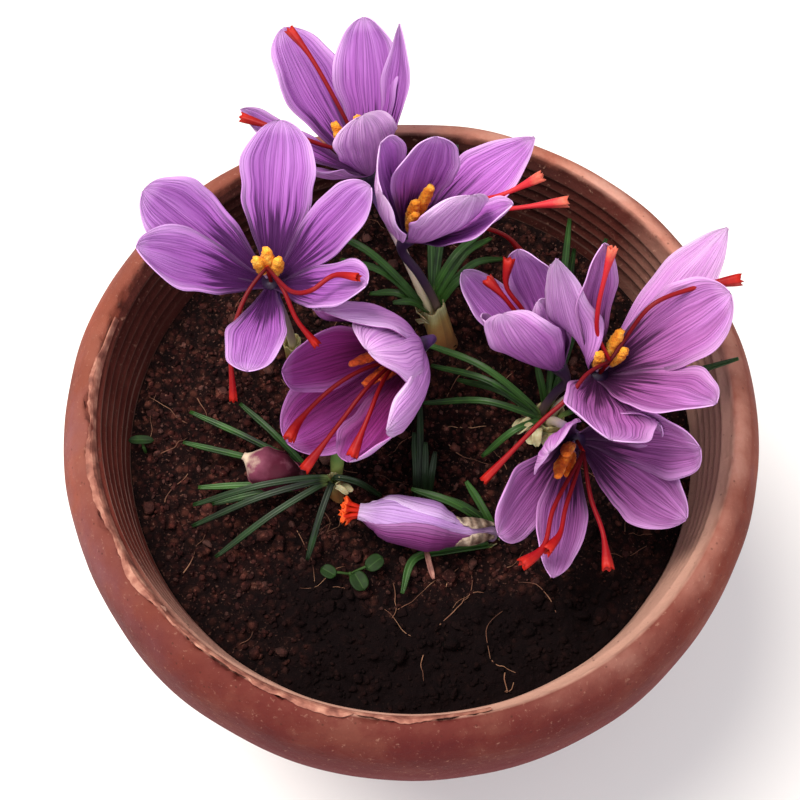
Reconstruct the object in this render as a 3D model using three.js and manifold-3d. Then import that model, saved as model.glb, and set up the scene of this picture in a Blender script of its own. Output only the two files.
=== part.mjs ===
// Saffron crocuses growing in a round clay-coloured pot: seven open flowers, two buds, their sheaths,
// grassy leaves and the corms that they grow from, in a bed of crumbly soil.
// Millimetres, +Z up. The origin is the centre of the pot's underside.
import * as THREE from "three";
import { mergeVertices } from "three/addons/utils/BufferGeometryUtils.js";
import Module from "manifold-3d";

// ---- driving dimensions -------------------------------------------------------------------------
const POT_HEIGHT = 170;
const RIM_INNER_R = 104;
const RIM_OUTER_R = 115;
const BAND_FOOT_R = 116;
const BAND_FOOT_Z = 137;
const WALL_TOP_R = 109;
const BASE_R = 76;
const WALL = 5;
const FLOOR = 7;
const DRAIN_HOLE_R = 6;
const DRAIN_HOLE_RING = 46;
const DRAIN_HOLES = 4;
const SOIL_Z = 138;
const GAP = 0.3;
const POT_SIDES = 36;
const TEPAL_THICKNESS = 0.8;
const LEAF_THICKNESS = 0.9;
const TUBE_R = 1.5;
const THROAT_R = 2.9;
const SOCKET_R = 2.0;
const SOCKET_DEPTH = 5;
const STYLE_R = 0.6;
const BRANCH_R = 0.75;
const TRUMPET_R = 1.9;
const CORM_R = 12;
const CORM_HEIGHT = 19;
const CORM_BASE_Z = 88;
const CORM_SIDES = 8;
const SHEATH_SIDES = 8;

// ---- colours ------------------------------------------------------------------------------------
const CLAY = 0xa0583f;
const EARTH = 0x3a211a;
const LILAC = 0xa673cf;
const ANTHER = 0xf08a12;
const STIGMA = 0xc4161c;
const LEAF = 0x2f6a2c;
const SHEATH = 0xb59a62;
const CORM = 0x7a5230;
const BUD = 0x9a5f9c;

const wasm = await Module();
wasm.setup();

const root = new THREE.Group();

// ---- solids -------------------------------------------------------------------------------------
function solid(geometry) {
  const bare = geometry.clone();
  bare.deleteAttribute("normal");
  bare.deleteAttribute("uv");
  const merged = mergeVertices(bare, 1e-4);
  const mesh = new wasm.Mesh({
    numProp: 3,
    vertProperties: new Float32Array(merged.attributes.position.array),
    triVerts: new Uint32Array(merged.index.array),
  });
  return new wasm.Manifold(mesh);
}

function place(name, body, colour, roughness) {
  const mesh = body.getMesh();
  const count = mesh.vertProperties.length / mesh.numProp;
  const position = new Float32Array(count * 3);
  for (let i = 0; i < count; i++) {
    for (let k = 0; k < 3; k++) position[i * 3 + k] = mesh.vertProperties[i * mesh.numProp + k];
  }
  const geometry = new THREE.BufferGeometry();
  geometry.setAttribute("position", new THREE.BufferAttribute(position, 3));
  geometry.setIndex(new THREE.BufferAttribute(new Uint32Array(mesh.triVerts), 1));
  geometry.computeVertexNormals();
  const material = new THREE.MeshStandardMaterial({ color: colour, roughness, metalness: 0 });
  const part = new THREE.Mesh(geometry, material);
  part.name = name;
  root.add(part);
  return body;
}

function join(bodies) {
  return bodies.reduce((all, one) => all.add(one));
}

// Moves every vertex of a geometry by a function of its own place.
function shape(geometry, move) {
  const p = geometry.attributes.position;
  const v = new THREE.Vector3();
  for (let i = 0; i < p.count; i++) {
    v.fromBufferAttribute(p, i);
    const to = move(v);
    p.setXYZ(i, to.x, to.y, to.z);
  }
  return geometry;
}

function vec(a) {
  return new THREE.Vector3(a[0], a[1], a[2]);
}

// A lathe stands on +Y in three.js, so it is turned to stand on +Z.
function lathe(profile, sides) {
  const points = profile.map(([r, z]) => new THREE.Vector2(r, z));
  return new THREE.LatheGeometry(points, sides).rotateX(Math.PI / 2);
}

// A round rod along a curve, closed at both ends, with a radius for each share of its length.
function rod(points, radius, sides, steps) {
  const curve = new THREE.CatmullRomCurve3(points, false, "centripetal");
  const frames = curve.computeFrenetFrames(steps, false);
  const geometry = new THREE.CylinderGeometry(1, 1, 1, sides, steps);
  return shape(geometry, (v) => {
    const s = THREE.MathUtils.clamp(v.y + 0.5, 0, 1);
    const i = Math.round(s * steps);
    const r = radius(s);
    const to = curve.getPointAt(s);
    to.addScaledVector(frames.normals[i], v.x * r);
    to.addScaledVector(frames.binormals[i], -v.z * r);
    return to;
  });
}

// ---- pot ----------------------------------------------------------------------------------------
// Inner radius of the pot's wall at a height: it narrows evenly to the floor.
function innerR(z) {
  const share = (POT_HEIGHT - z) / (POT_HEIGHT - FLOOR);
  const bottom = BASE_R - WALL;
  return THREE.MathUtils.lerp(RIM_INNER_R - 1.6, bottom, share);
}

const potProfile = [
  [0, 0],
  [BASE_R, 0],
  [WALL_TOP_R, BAND_FOOT_Z],
  [BAND_FOOT_R - 1, BAND_FOOT_Z],
  [BAND_FOOT_R, BAND_FOOT_Z + 2],
  [RIM_OUTER_R, POT_HEIGHT - 13],
  [RIM_OUTER_R - 3.4, POT_HEIGHT - 6],
  [RIM_OUTER_R - 7.4, POT_HEIGHT - 0.6],
  [RIM_INNER_R, POT_HEIGHT],
  [RIM_INNER_R - 1.2, POT_HEIGHT - 3],
  [innerR(SOIL_Z), SOIL_Z],
  [innerR(FLOOR), FLOOR],
  [0, FLOOR],
];
let pot = solid(lathe(potProfile, POT_SIDES));
for (let i = 0; i < DRAIN_HOLES; i++) {
  const turn = ((i + 0.5) / DRAIN_HOLES) * Math.PI * 2;
  const hole = new THREE.CylinderGeometry(DRAIN_HOLE_R, DRAIN_HOLE_R, FLOOR * 3, 10).rotateX(Math.PI / 2);
  hole.translate(Math.cos(turn) * DRAIN_HOLE_RING, Math.sin(turn) * DRAIN_HOLE_RING, FLOOR / 2);
  pot = pot.subtract(solid(hole));
}
place("pot", pot, CLAY, 0.75);

// ---- plants: where each one stands, how high its sheath reaches ------------------------------------
// at: foot in the soil; top: height of the sheath's mouth; r: its radius; lean: how far the mouth leans.
const PLANTS = {
  back: { at: [13, 35], corm: [20, 43], top: 158, r: 4.6, lean: [-6, 6] },
  left: { at: [-41, 31], corm: [-43, 33], top: 150, r: 3.2, lean: [0, 0] },
  middle: { at: [2, 25], corm: [-3, 18], top: 150, r: 3.2, lean: [0, -1] },
  right: { at: [47, 4], corm: [48, 5], top: 148, r: 5.2, lean: [0, 0] },
  front: { at: [26, -37], corm: [30, -40], top: 141, r: 3.4, lean: [0, 0] },
  tuft: { at: [-25, -22], corm: [-22, -30], top: 152, r: 2.6, lean: [-1, 1] },
  young: { at: [-37, -17], corm: [-44, -13], top: 141, r: 3.2, lean: [0, 0] },
  bundle: { at: [4.5, -23], corm: [4, -20], top: 140, r: 3.4, lean: [0, 0] },
};

function sheathPath(plant) {
  const [x, y] = plant.at;
  const [cx, cy] = plant.corm;
  const [dx, dy] = plant.lean;
  return [
    vec([cx, cy, CORM_BASE_Z + CORM_HEIGHT + 2 * GAP]),
    vec([cx, cy, CORM_BASE_Z + CORM_HEIGHT + 7]),
    vec([(cx + x) / 2, (cy + y) / 2, SOIL_Z - 14]),
    vec([x + dx * 0.2, y + dy * 0.2, SOIL_Z + 1]),
    vec([x + dx, y + dy, plant.top]),
  ];
}

function sheathRod(plant, grow) {
  const width = (s) => plant.r * (0.82 + 0.18 * s) + grow;
  return solid(rod(sheathPath(plant), width, SHEATH_SIDES, 3));
}

function cormProfile(grow) {
  const r = CORM_R;
  const h = CORM_HEIGHT;
  const b = CORM_BASE_Z;
  return [
    [0, b - grow],
    [r * 0.55, b - grow],
    [r + grow, b + h * 0.32],
    [r * 0.8 + grow, b + h * 0.66],
    [2.4 + grow, b + h + grow * 3],
    [0, b + h + grow * 3],
  ];
}

// ---- flowers ------------------------------------------------------------------------------------
// throat: where the six tepals part; axis: the way the flower faces; foot: offset of its tube in the sheath.
// tepals: turn about the axis, opening from the axis, length, width, bow (a cup bows out), cup, and how
// pointed the tip is (0 blunt, 1 pointed).
// branches: the three stigma branches, as points from the throat.
// anthers: turn about the axis, height above the throat, distance from the axis of each tip.
const FLOWERS = [
  {
    name: "1", plant: "back", foot: [-1.9, 0.6], throat: [-14.6, 72.5, 192], axis: [-0.24, 0.44, 0.87],
    tepals: [
      [123, 35, 54, 21, 14, 0.5, 0.5],
      [72, 33, 49.5, 23, 14, 0.5, 0.3],
      [27, 32, 48, 18, 24, 0.6, 1],
      [177, 46, 45, 17, 12, 0.5, 0.3],
      [236, 54, 42, 18, 8, 0.4, 0],
      [290, 31, 32.5, 22, 20, 0.5, 0],
    ],
    anthers: [[170, 19, 6.3], [75, 18, 4.6], [288, 14, 4]],
    branches: [
      [[-10.8, 16.4, 18.6], [-18.6, 28, 25], [-24.9, 36, 27.6]],
      [[-11, 0, 13], [-26, 1.4, 20], [-39.8, 6.4, 20.6]],
      [[5, 5, 16], [9, 8, 23]],
    ],
  },
  {
    name: "2", plant: "back", foot: [1.9, -0.6], throat: [-0.5, 45.2, 196], axis: [0.34, 0.06, 0.94],
    tepals: [
      [158, 33, 38, 18, 18, 0.6, 0],
      [102, 16, 38, 20, 16, 0.5, 0],
      [38, 48, 49, 19, 8, 0.4, 1],
      [343, 31, 41, 15, 18, 0.5, 1],
      [296, 16, 42, 21, 24, 0.5, 0.3],
      [216, 38, 41, 18, 20, 0.5, 0],
    ],
    anthers: [[92, 19.6, 5.4], [150, 15, 4], [215, 14, 4]],
    branches: [
      [[15, 4.4, 14.6], [30.6, 8, 14], [41.5, 11.9, 16.8]],
      [[14, 2, 12.8], [31, 5, 12.8], [49.7, 6, 11.4]],
    ],
  },
  {
    name: "3", plant: "left", foot: [0, 0], throat: [-43.6, 24.3, 203], axis: [-0.05, 0, 1],
    tepals: [
      [157, 49, 47, 22, 6, 0.35, 0.3],
      [189, 46, 46, 19, 6, 0.4, 0.3],
      [82, 52, 48, 21, 4, 0.3, 0.3],
      [25, 50, 44.4, 18, 6, 0.4, 0.3],
      [331, 51, 44, 18, 6, 0.4, 0.3],
      [267, 60, 46, 17, 4, 0.3, 0.3],
    ],
    anthers: [[158, 12, 5], [80, 14, 4.4], [15, 12, 5]],
    branches: [
      [[8.2, -13.4, 17], [14.2, -16, 22.4], [20.6, -12.2, 24.4], [28, -15.6, 29.2]],
      [[-6.4, -8.8, 7.2], [-11, -21, 0.6], [-11.6, -33.4, -15.6]],
      [[5, -9.6, 12], [9, -17.6, 7.6], [15, -23.2, 1.6]],
    ],
  },
  {
    name: "4", plant: "middle", foot: [0, 0], throat: [1.5, 13.9, 178], axis: [-0.65, -0.63, 0.42],
    tepals: [
      [106, 31, 46, 25, 24, 0.7, 0.6],
      [172, 22, 46, 21, 22, 0.5, 0],
      [231, 34, 51, 22, 20, 0.5, 0],
      [290, 25, 46, 20, 22, 0.5, 0],
      [342, 27, 48, 20, 26, 0.6, 0.6],
      [48, 28, 40, 20, 24, 0.6, 0.3],
    ],
    anthers: [[171, 23, 7.6], [237, 21, 7], [260, 17, 4.5]],
    branches: [
      [[-18, -11.6, 6.6], [-27.6, -18.4, 6.2], [-37, -28.6, 4.6], [-39.6, -34, 4.4]],
      [[-15, -17, 7], [-23.6, -28, 4.4], [-35, -41.6, -2]],
      [[-11, -18, 10], [-15, -29.6, 11], [-20, -40.6, 6.6]],
    ],
  },
  {
    name: "5", plant: "right", foot: [-2.2, 1.8], throat: [46.9, 9.1, 176], axis: [-0.45, 0.3, 0.84],
    tepals: [
      [130, 38, 42, 16, 20, 0.6, 0.3],
      [70, 15, 42, 18, 18, 0.6, 0],
      [20, 18, 38, 16, 20, 0.6, 0.6],
      [322, 22, 40, 16, 22, 0.6, 0.6],
      [267, 20, 40, 19, 24, 0.6, 0.3],
      [198, 15, 34, 15, 20, 0.6, 0.3],
    ],
    anthers: [[30, 15, 4.2], [150, 15, 4.2], [270, 15, 4.2]],
    branches: [
      [[-12.6, 9.6, 19.6], [-17.6, 14.8, 24.6], [-17, 21, 30.6]],
      [[-13, 7.6, 17.4], [-18.6, 12.4, 22.6], [-23.6, 17.6, 24]],
      [[-5, 5, 18], [-8, 7, 26]],
    ],
  },
  {
    name: "6", plant: "right", foot: [1.8, 1.8], throat: [58.9, 1, 186], axis: [0.24, 0, 0.97],
    tepals: [
      [155, 34, 50, 16, 14, 0.7, 0.6],
      [128, 26, 50, 17, 14, 0.5, 0.6],
      [50, 50, 57, 17, 8, 0.7, 1],
      [24, 38, 47, 22, 6, 0.4, 0.3],
      [307, 36, 47, 20, 4, 0.4, 1],
      [251, 50, 46, 20, 6, 0.4, 0],
    ],
    anthers: [[83, 17, 6.5], [180, 13, 5], [36, 12, 5]],
    branches: [
      [[-2.6, 4.6, 17], [-3.6, 8, 27], [-2.6, 13, 38], [-1.2, 17.6, 46]],
      [[6, 5, 12], [13.6, 10.6, 24.6], [26, 14.6, 28.4], [40.6, 17, 30]],
      [[-6.2, -7.2, 13.7], [-12.2, -15, 13.8], [-20.4, -21.4, 10], [-37.4, -36, -1]],
    ],
  },
  {
    name: "7", plant: "right", foot: [0.4, -2.6], throat: [52.4, -16.2, 172], axis: [0.12, -0.73, 0.68],
    tepals: [
      [205, 44, 46.5, 20, 8, 0.4, 0],
      [243, 40, 47, 17, 8, 0.4, 0.6],
      [328, 35, 44, 20, 8, 0.4, 0],
      [20, 42, 45, 20, 8, 0.4, 0],
      [143, 26, 44, 17, 18, 0.5, 0],
      [43, 38, 36, 16, 12, 0.5, 0],
    ],
    anthers: [[202, 17, 10.5], [165, 14, 7], [225, 13, 8]],
    branches: [
      [[-9.8, -26.8, 10], [-13.6, -39.6, 11.4], [-20, -45, 12]],
      [[-5.8, -25.7, 8.2], [-8.2, -34.7, 9.6], [-12.8, -40.6, 11.6]],
      [[2.5, -21.3, 5.4], [5.3, -33, 6.6], [6, -44.6, 7]],
    ],
  },
];

// The three directions of a flower: its axis, and two across it; turn 0 is nearest to +X.
function facing(axis) {
  const a = vec(axis).normalize();
  const e1 = new THREE.Vector3(1, 0, 0);
  e1.addScaledVector(a, -e1.dot(a)).normalize();
  const e2 = new THREE.Vector3().crossVectors(a, e1);
  return { a, e1, e2 };
}

function around(frame, turn) {
  const t = THREE.MathUtils.degToRad(turn);
  const out = frame.e1.clone().multiplyScalar(Math.cos(t));
  return out.addScaledVector(frame.e2, Math.sin(t));
}

// Half-width of a tepal along its length, as a share: narrow claw, broad above the middle, blunt or pointed tip.
function tepalShare(s, point) {
  const peak = 0.66 - 0.1 * point;
  if (s < peak) return 0.2 + 0.8 * Math.sin((Math.PI / 2) * (s / peak)) ** 1.4;
  const over = (s - peak) / (1 - peak);
  return Math.max(0.12 - 0.06 * point, (1 - over ** (2 - 0.4 * point)) ** (0.5 + 0.35 * point));
}

// Places along a tepal's middle line, in the plane of the axis and its own direction.
function tepalLine(open, length, bow, rows) {
  const angles = rows.map((s) => THREE.MathUtils.degToRad(bow * (1 - 2 * s)));
  const line = [[0, 0]];
  for (let i = 1; i < rows.length; i++) {
    const m = (angles[i - 1] + angles[i]) / 2;
    const d = rows[i] - rows[i - 1];
    line.push([line[i - 1][0] + Math.cos(m) * d, line[i - 1][1] + Math.sin(m) * d]);
  }
  const [ex, ey] = line[rows.length - 1];
  const turn = THREE.MathUtils.degToRad(open) - Math.atan2(ey, ex);
  const scale = length / Math.hypot(ex, ey);
  return line.map(([x, y], i) => ({
    up: (x * Math.cos(turn) - y * Math.sin(turn)) * scale,
    out: (x * Math.sin(turn) + y * Math.cos(turn)) * scale,
    angle: angles[i] + turn,
  }));
}

const TEPAL_ROWS = [0, 0.3, 0.6, 0.84, 1];
const TEPAL_COLUMNS = 2;

function tepal(flower, frame, [turn, open, length, width, bow, cup, point]) {
  const out = around(frame, turn);
  const line = tepalLine(open, length, bow, TEPAL_ROWS);
  const steps = TEPAL_ROWS.length - 1;
  const origin = vec(flower.throat).addScaledVector(out, 1.9).addScaledVector(frame.a, -0.9);
  const box = new THREE.BoxGeometry(2, 1, 1, TEPAL_COLUMNS, steps, 1);
  return solid(
    shape(box, (v) => {
      const row = Math.round((v.y + 0.5) * steps);
      const s = TEPAL_ROWS[row];
      const at = line[row];
      const along = frame.a.clone().multiplyScalar(Math.cos(at.angle));
      along.addScaledVector(out, Math.sin(at.angle));
      const inward = frame.a.clone().multiplyScalar(Math.sin(at.angle));
      inward.addScaledVector(out, -Math.cos(at.angle));
      const across = new THREE.Vector3().crossVectors(along, inward);
      const half = (width / 2) * tepalShare(s, point);
      const bend = cup * (1.2 - 0.6 * s) * 1.3;
      const wide = (half * Math.sin(v.x * bend)) / bend;
      const raised = (half * (1 - Math.cos(v.x * bend))) / bend;
      const to = origin.clone().addScaledVector(frame.a, at.up).addScaledVector(out, at.out);
      to.addScaledVector(across, wide).addScaledVector(inward, raised + v.z * TEPAL_THICKNESS);
      return to;
    }),
  );
}

// The long tube from the sheath up to the throat, flaring where the tepals spread.
function tubePath(flower, frame) {
  const plant = PLANTS[flower.plant];
  const [fx, fy] = flower.foot;
  const [dx, dy] = plant.lean;
  const deep = plant.top - 9;
  const share = (deep - SOIL_Z) / (plant.top - SOIL_Z);
  const low = vec([plant.at[0] + fx + dx * share, plant.at[1] + fy + dy * share, deep]);
  const mouth = vec([plant.at[0] + fx + dx, plant.at[1] + fy + dy, plant.top]);
  const throat = vec(flower.throat);
  const reach = throat.distanceTo(mouth);
  const before = throat.clone().addScaledVector(frame.a, -Math.min(8, reach * 0.3));
  const between = mouth.clone().lerp(before, 0.5);
  between.addScaledVector(new THREE.Vector3(0, 0, 1), reach * 0.05);
  return [low, mouth, between, before, throat];
}

function tubeRod(flower, frame, grow) {
  const flare = (s) => TUBE_R + grow + (THROAT_R - TUBE_R) * THREE.MathUtils.smoothstep(s, 0.8, 1);
  return solid(rod(tubePath(flower, frame), flare, 7, 7));
}

function stub(frame, from, to, radius, throat) {
  const length = to - from;
  const post = new THREE.CylinderGeometry(radius, radius, length, 6);
  const turn = new THREE.Quaternion().setFromUnitVectors(new THREE.Vector3(0, 1, 0), frame.a);
  post.applyQuaternion(turn);
  const middle = vec(throat).addScaledVector(frame.a, (from + to) / 2);
  return solid(post.translate(middle.x, middle.y, middle.z));
}

const HUB_TOP = 2;
const STYLE_TOP = 8;
const tubes = {};

for (const flower of FLOWERS) {
  const frame = facing(flower.axis);
  const throat = vec(flower.throat);

  const tepals = flower.tepals.map((row) => tepal(flower, frame, row));
  const socket = stub(frame, -SOCKET_DEPTH, 3, SOCKET_R, flower.throat);
  const perianth = join([tubeRod(flower, frame, 0), ...tepals]).subtract(socket);
  place("flower_" + flower.name, perianth, LILAC, 0.55);
  (tubes[flower.plant] ??= []).push(tubeRod(flower, frame, GAP));

  const stamens = [stub(frame, GAP - SOCKET_DEPTH, HUB_TOP, SOCKET_R - GAP, flower.throat)];
  for (const [turn, high, far] of flower.anthers) {
    const out = around(frame, turn);
    const at = (side, up) => throat.clone().addScaledVector(out, side).addScaledVector(frame.a, up);
    const line = [at(1.3, 0.9), at(0.9 + far * 0.34, high * 0.34), at(far * 0.8, high * 0.65), at(far, high)];
    const swell = (s) => (s < 0.2 ? 0.42 : 0.9 + 1.0 * Math.sin((Math.PI * (s - 0.3)) / 0.75));
    stamens.push(solid(rod(line, swell, 5, 4)));
  }
  const bore = stub(frame, -SOCKET_DEPTH - 1, 30, STYLE_R + GAP, flower.throat);
  place("stamens_" + flower.name, join(stamens).subtract(bore), ANTHER, 0.7);

  const fork = throat.clone().addScaledVector(frame.a, STYLE_TOP);
  const stigmas = [stub(frame, GAP - SOCKET_DEPTH, STYLE_TOP + 0.4, STYLE_R, flower.throat)];
  for (const branch of flower.branches) {
    const points = [fork.clone().addScaledVector(frame.a, -1), fork];
    branch.forEach((p) => points.push(throat.clone().add(vec(p))));
    const flare = (s) => {
      const thick = THREE.MathUtils.lerp(STYLE_R, BRANCH_R, THREE.MathUtils.smoothstep(s, 0, 0.5));
      return thick + (TRUMPET_R - BRANCH_R) * THREE.MathUtils.smoothstep(s, 0.72, 1);
    };
    stigmas.push(solid(rod(points, flare, 5, branch.length + 1)));
  }
  place("stigmas_" + flower.name, join(stigmas), STIGMA, 0.5);
}

// ---- buds ---------------------------------------------------------------------------------------
// A closed bud lies over on its side, and the ends of its stigmas stick out of its mouth.
const BUD_A = {
  path: [[26, -37, 133], [26, -37, 146], [15, -38.5, 149.5], [3, -36.5, 151.5], [-9, -34.5, 153], [-17, -33, 153.5]],
  wide: [1.5, 1.8, 4.8, 7.8, 7.0, 3.4],
};
const BUD_B = {
  path: [[-37, -17, 133], [-37, -17, 146], [-43, -16, 150], [-49, -14.5, 151], [-54, -13, 151.4], [-58, -11.5, 151.8]],
  wide: [1.5, 1.6, 2.4, 6.0, 6.0, 1.8],
};

function spread(values, s) {
  const at = s * (values.length - 1);
  const i = Math.min(values.length - 2, Math.floor(at));
  return THREE.MathUtils.lerp(values[i], values[i + 1], THREE.MathUtils.smoothstep(at - i, 0, 1));
}

function along(path, from, to, radius, sides, steps) {
  const curve = new THREE.CatmullRomCurve3(path.map(vec), false, "centripetal");
  const points = [];
  for (let i = 0; i <= steps; i++) points.push(curve.getPointAt(THREE.MathUtils.lerp(from, to, i / steps)));
  return solid(rod(points, radius, sides, steps));
}

// The clear room round a bud's foot, from just below it.
function budRoom(bud, to) {
  const [x, y, z] = bud.path[0];
  const path = [[x, y, z - 1], ...bud.path.slice(1)];
  return along(path, 0, to, (s) => spread(bud.wide, s * to) + 0.6, 8, 5);
}

const mouth = [vec([-11.6, -34, 153.2]), vec([-17, -33, 153.6]), vec([-21, -32.4, 153.8])];
const budMouth = solid(rod(mouth, () => 2.7, 8, 2));
const budA = along(BUD_A.path, 0, 1, (s) => spread(BUD_A.wide, s), 9, 9).subtract(budMouth);
place("bud_1", budA, LILAC, 0.55);
const bunch = [vec([-15, -33.3, 153.4]), vec([-19, -32.8, 154]), vec([-24, -33.2, 154.6])];
place("bud_1_stigmas", solid(rod(bunch, (s) => 1.9 + 1.5 * s * s, 7, 3)), STIGMA, 0.5);
place("bud_2", along(BUD_B.path, 0, 1, (s) => spread(BUD_B.wide, s), 9, 8), BUD, 0.5);
tubes.front = [budRoom(BUD_A, 0.4)];
tubes.young = [budRoom(BUD_B, 0.6)];

// ---- leaves -------------------------------------------------------------------------------------
// Each leaf: foot, tip, and how far its middle rises above the straight line between them.
const LEAVES = {
  back: {
    collar: 4.8, thick: 3, lift: 1.8,
    blades: [
      [[3, 40.2, 161], [-36, 64, 174], 10], [[3.2, 39.2, 161], [-24, 54, 166], 8],
      [[8.2, 45, 161], [24, 63, 168], 7],
      [[10, 43.8, 161], [28, 65, 162], 9], [[11, 42.8, 161], [32, 58, 160], 9],
      [[3.4, 38.6, 161], [-14, 44, 160], 5], [[8, 45, 161], [16, 94, 176], 10],
      [[7.2, 45, 161], [6, 96, 176], 10], [[11.2, 41.6, 161], [22, 48, 168], 4],
      [[4.4, 37.6, 161], [-6, 36, 168], 3],
    ],
  },
  right: {
    collar: 5.2, thick: 3, lift: 0.6,
    blades: [
      [[42.6, 4.4, 150], [2, 29, 154], 9], [[42.4, 3.4, 150], [7, 22, 149], 8],
      [[42.6, 2.6, 150], [16, 19, 144], 6], [[42.8, 1.8, 150], [4, 11, 142], 8],
      [[43.4, 0.8, 150], [24, -9, 142], 6], [[46.2, 8.4, 150], [56, 74, 160], 10],
      [[47, 8.6, 150], [58, 66, 153], 8], [[47.8, 8.2, 150], [67, 61, 168], 10],
      [[51.4, 3, 150], [105, 10, 178], 2], [[45.2, 8.4, 150], [42, 17, 160], 1],
    ],
  },
  tuft: {
    collar: 2.5, thick: 3, lift: 0.6,
    blades: [
      [[-28, -21, 153], [-72, -28, 146], 5], [[-28, -22, 153], [-72, -35, 145], 5],
      [[-28, -23, 153], [-64, -45, 143], 4],
      [[-26, -23, 153], [-34, -46, 143], 3], [[-25, -21, 153], [-10, -24, 144], 4],
    ],
  },
  young: {
    collar: 3.6, thick: 2.4, lift: 0.5,
    blades: [
      [[-37, -13.8, 141.9], [-77, -5, 145], 0], [[-36.2, -13.6, 142.4], [-75, 5.4, 147], 3],
      [[-38, -20.2, 142.4], [-71, -21, 144], 2], [[-37.4, -20.4, 142.4], [-66, -27, 144], 2],
      [[-35.4, -13.8, 142.4], [-58, 8, 148], 4],
    ],
  },
  front: {
    collar: 3.6, thick: 2.4, lift: 0.5,
    blades: [
      [[26.4, -33.8, 142.4], [18, -22, 152], 2], [[24.8, -34, 142.4], [0, -25, 153], 6],
      [[25.6, -33.8, 142.4], [9, -27, 152], 4], [[29.2, -36.6, 142.4], [33, -36, 149], 2],
      [[25.4, -40.4, 142.4], [-3, -57, 142], 3],
    ],
  },
  bundle: {
    collar: 3.2, thick: 3, lift: 0.6,
    blades: [
      [[2, -22, 141], [1, -4, 151], 2], [[3, -22, 141], [3, 6, 154], 3],
      [[4.6, -22, 141], [4.8, -8, 152], 2], [[6, -22, 141], [8, -11, 151], 2],
    ],
  },
};
const LEAF_WIDTH = 2.4;
const LEAF_STEPS = 4;
const SHORT_LEAF = 30;

function blade([foot, tip, rise], grow) {
  const start = vec(foot);
  const end = vec(tip);
  const middle = start.clone().lerp(end, 0.45);
  middle.z += rise;
  const curve = new THREE.QuadraticBezierCurve3(start, middle.multiplyScalar(2).sub(start.clone().lerp(end, 0.5)), end);
  const steps = start.distanceTo(end) > SHORT_LEAF ? LEAF_STEPS : LEAF_STEPS / 2;
  const box = new THREE.BoxGeometry(2, 1, 1, 1, steps, 1);
  return solid(
    shape(box, (v) => {
      const s = v.y + 0.5;
      const ahead = curve.getTangent(s);
      const across = new THREE.Vector3(ahead.y, -ahead.x, 0).normalize();
      const up = new THREE.Vector3().crossVectors(across, ahead);
      const half = (LEAF_WIDTH / 2) * (s < 0.7 ? 1 : 1 - 0.62 * ((s - 0.7) / 0.3) ** 2) + grow;
      const to = curve.getPoint(s);
      to.addScaledVector(across, v.x * half).addScaledVector(up, v.z * (LEAF_THICKNESS + 2 * grow));
      return to;
    }),
  );
}

for (const [key, row] of Object.entries(LEAVES)) {
  const plant = PLANTS[key];
  const x = plant.at[0] + plant.lean[0];
  const y = plant.at[1] + plant.lean[1];
  const ring = new THREE.CylinderGeometry(row.collar, row.collar, row.thick, 8).rotateX(Math.PI / 2);
  ring.translate(x, y, plant.top + row.lift + row.thick / 2);
  let tuft = join([solid(ring), ...row.blades.map((one) => blade(one, 0))]);
  for (const tube of tubes[key] ?? []) tuft = tuft.subtract(tube);
  place("leaves_" + key, tuft, LEAF, 0.6);
}

// ---- sheaths and corms --------------------------------------------------------------------------
for (const [key, plant] of Object.entries(PLANTS)) {
  let sheath = sheathRod(plant, 0);
  for (const tube of tubes[key] ?? []) sheath = sheath.subtract(tube);
  place("sheath_" + key, sheath, SHEATH, 0.65);
  const corm = lathe(cormProfile(0), CORM_SIDES).translate(plant.corm[0], plant.corm[1], 0);
  place("corm_" + key, solid(corm), CORM, 0.8);
}

// ---- seedlings: small round-leaved weeds ---------------------------------------------------------
const SEEDLINGS = {
  left: { foot: [-91, -5], leaves: [[-91.6, -3.4, 143, 4.4, 1.6]] },
  front: { foot: [-20, -50], leaves: [[-27, -50, 143, 2.8, 2.2], [-17, -53, 142.5, 3.6, 2.8], [-12, -47, 143, 3.4, 2.6]] },
};

// ---- soil ---------------------------------------------------------------------------------------
function crumb(x, y) {
  const a = Math.sin(x * 0.21 + y * 0.13) + Math.sin(y * 0.27 - x * 0.09 + 1.3);
  const b = Math.sin(x * 0.52 - 0.4) * Math.cos(y * 0.47 + 0.8);
  return 0.55 * a + 0.6 * b;
}

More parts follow.
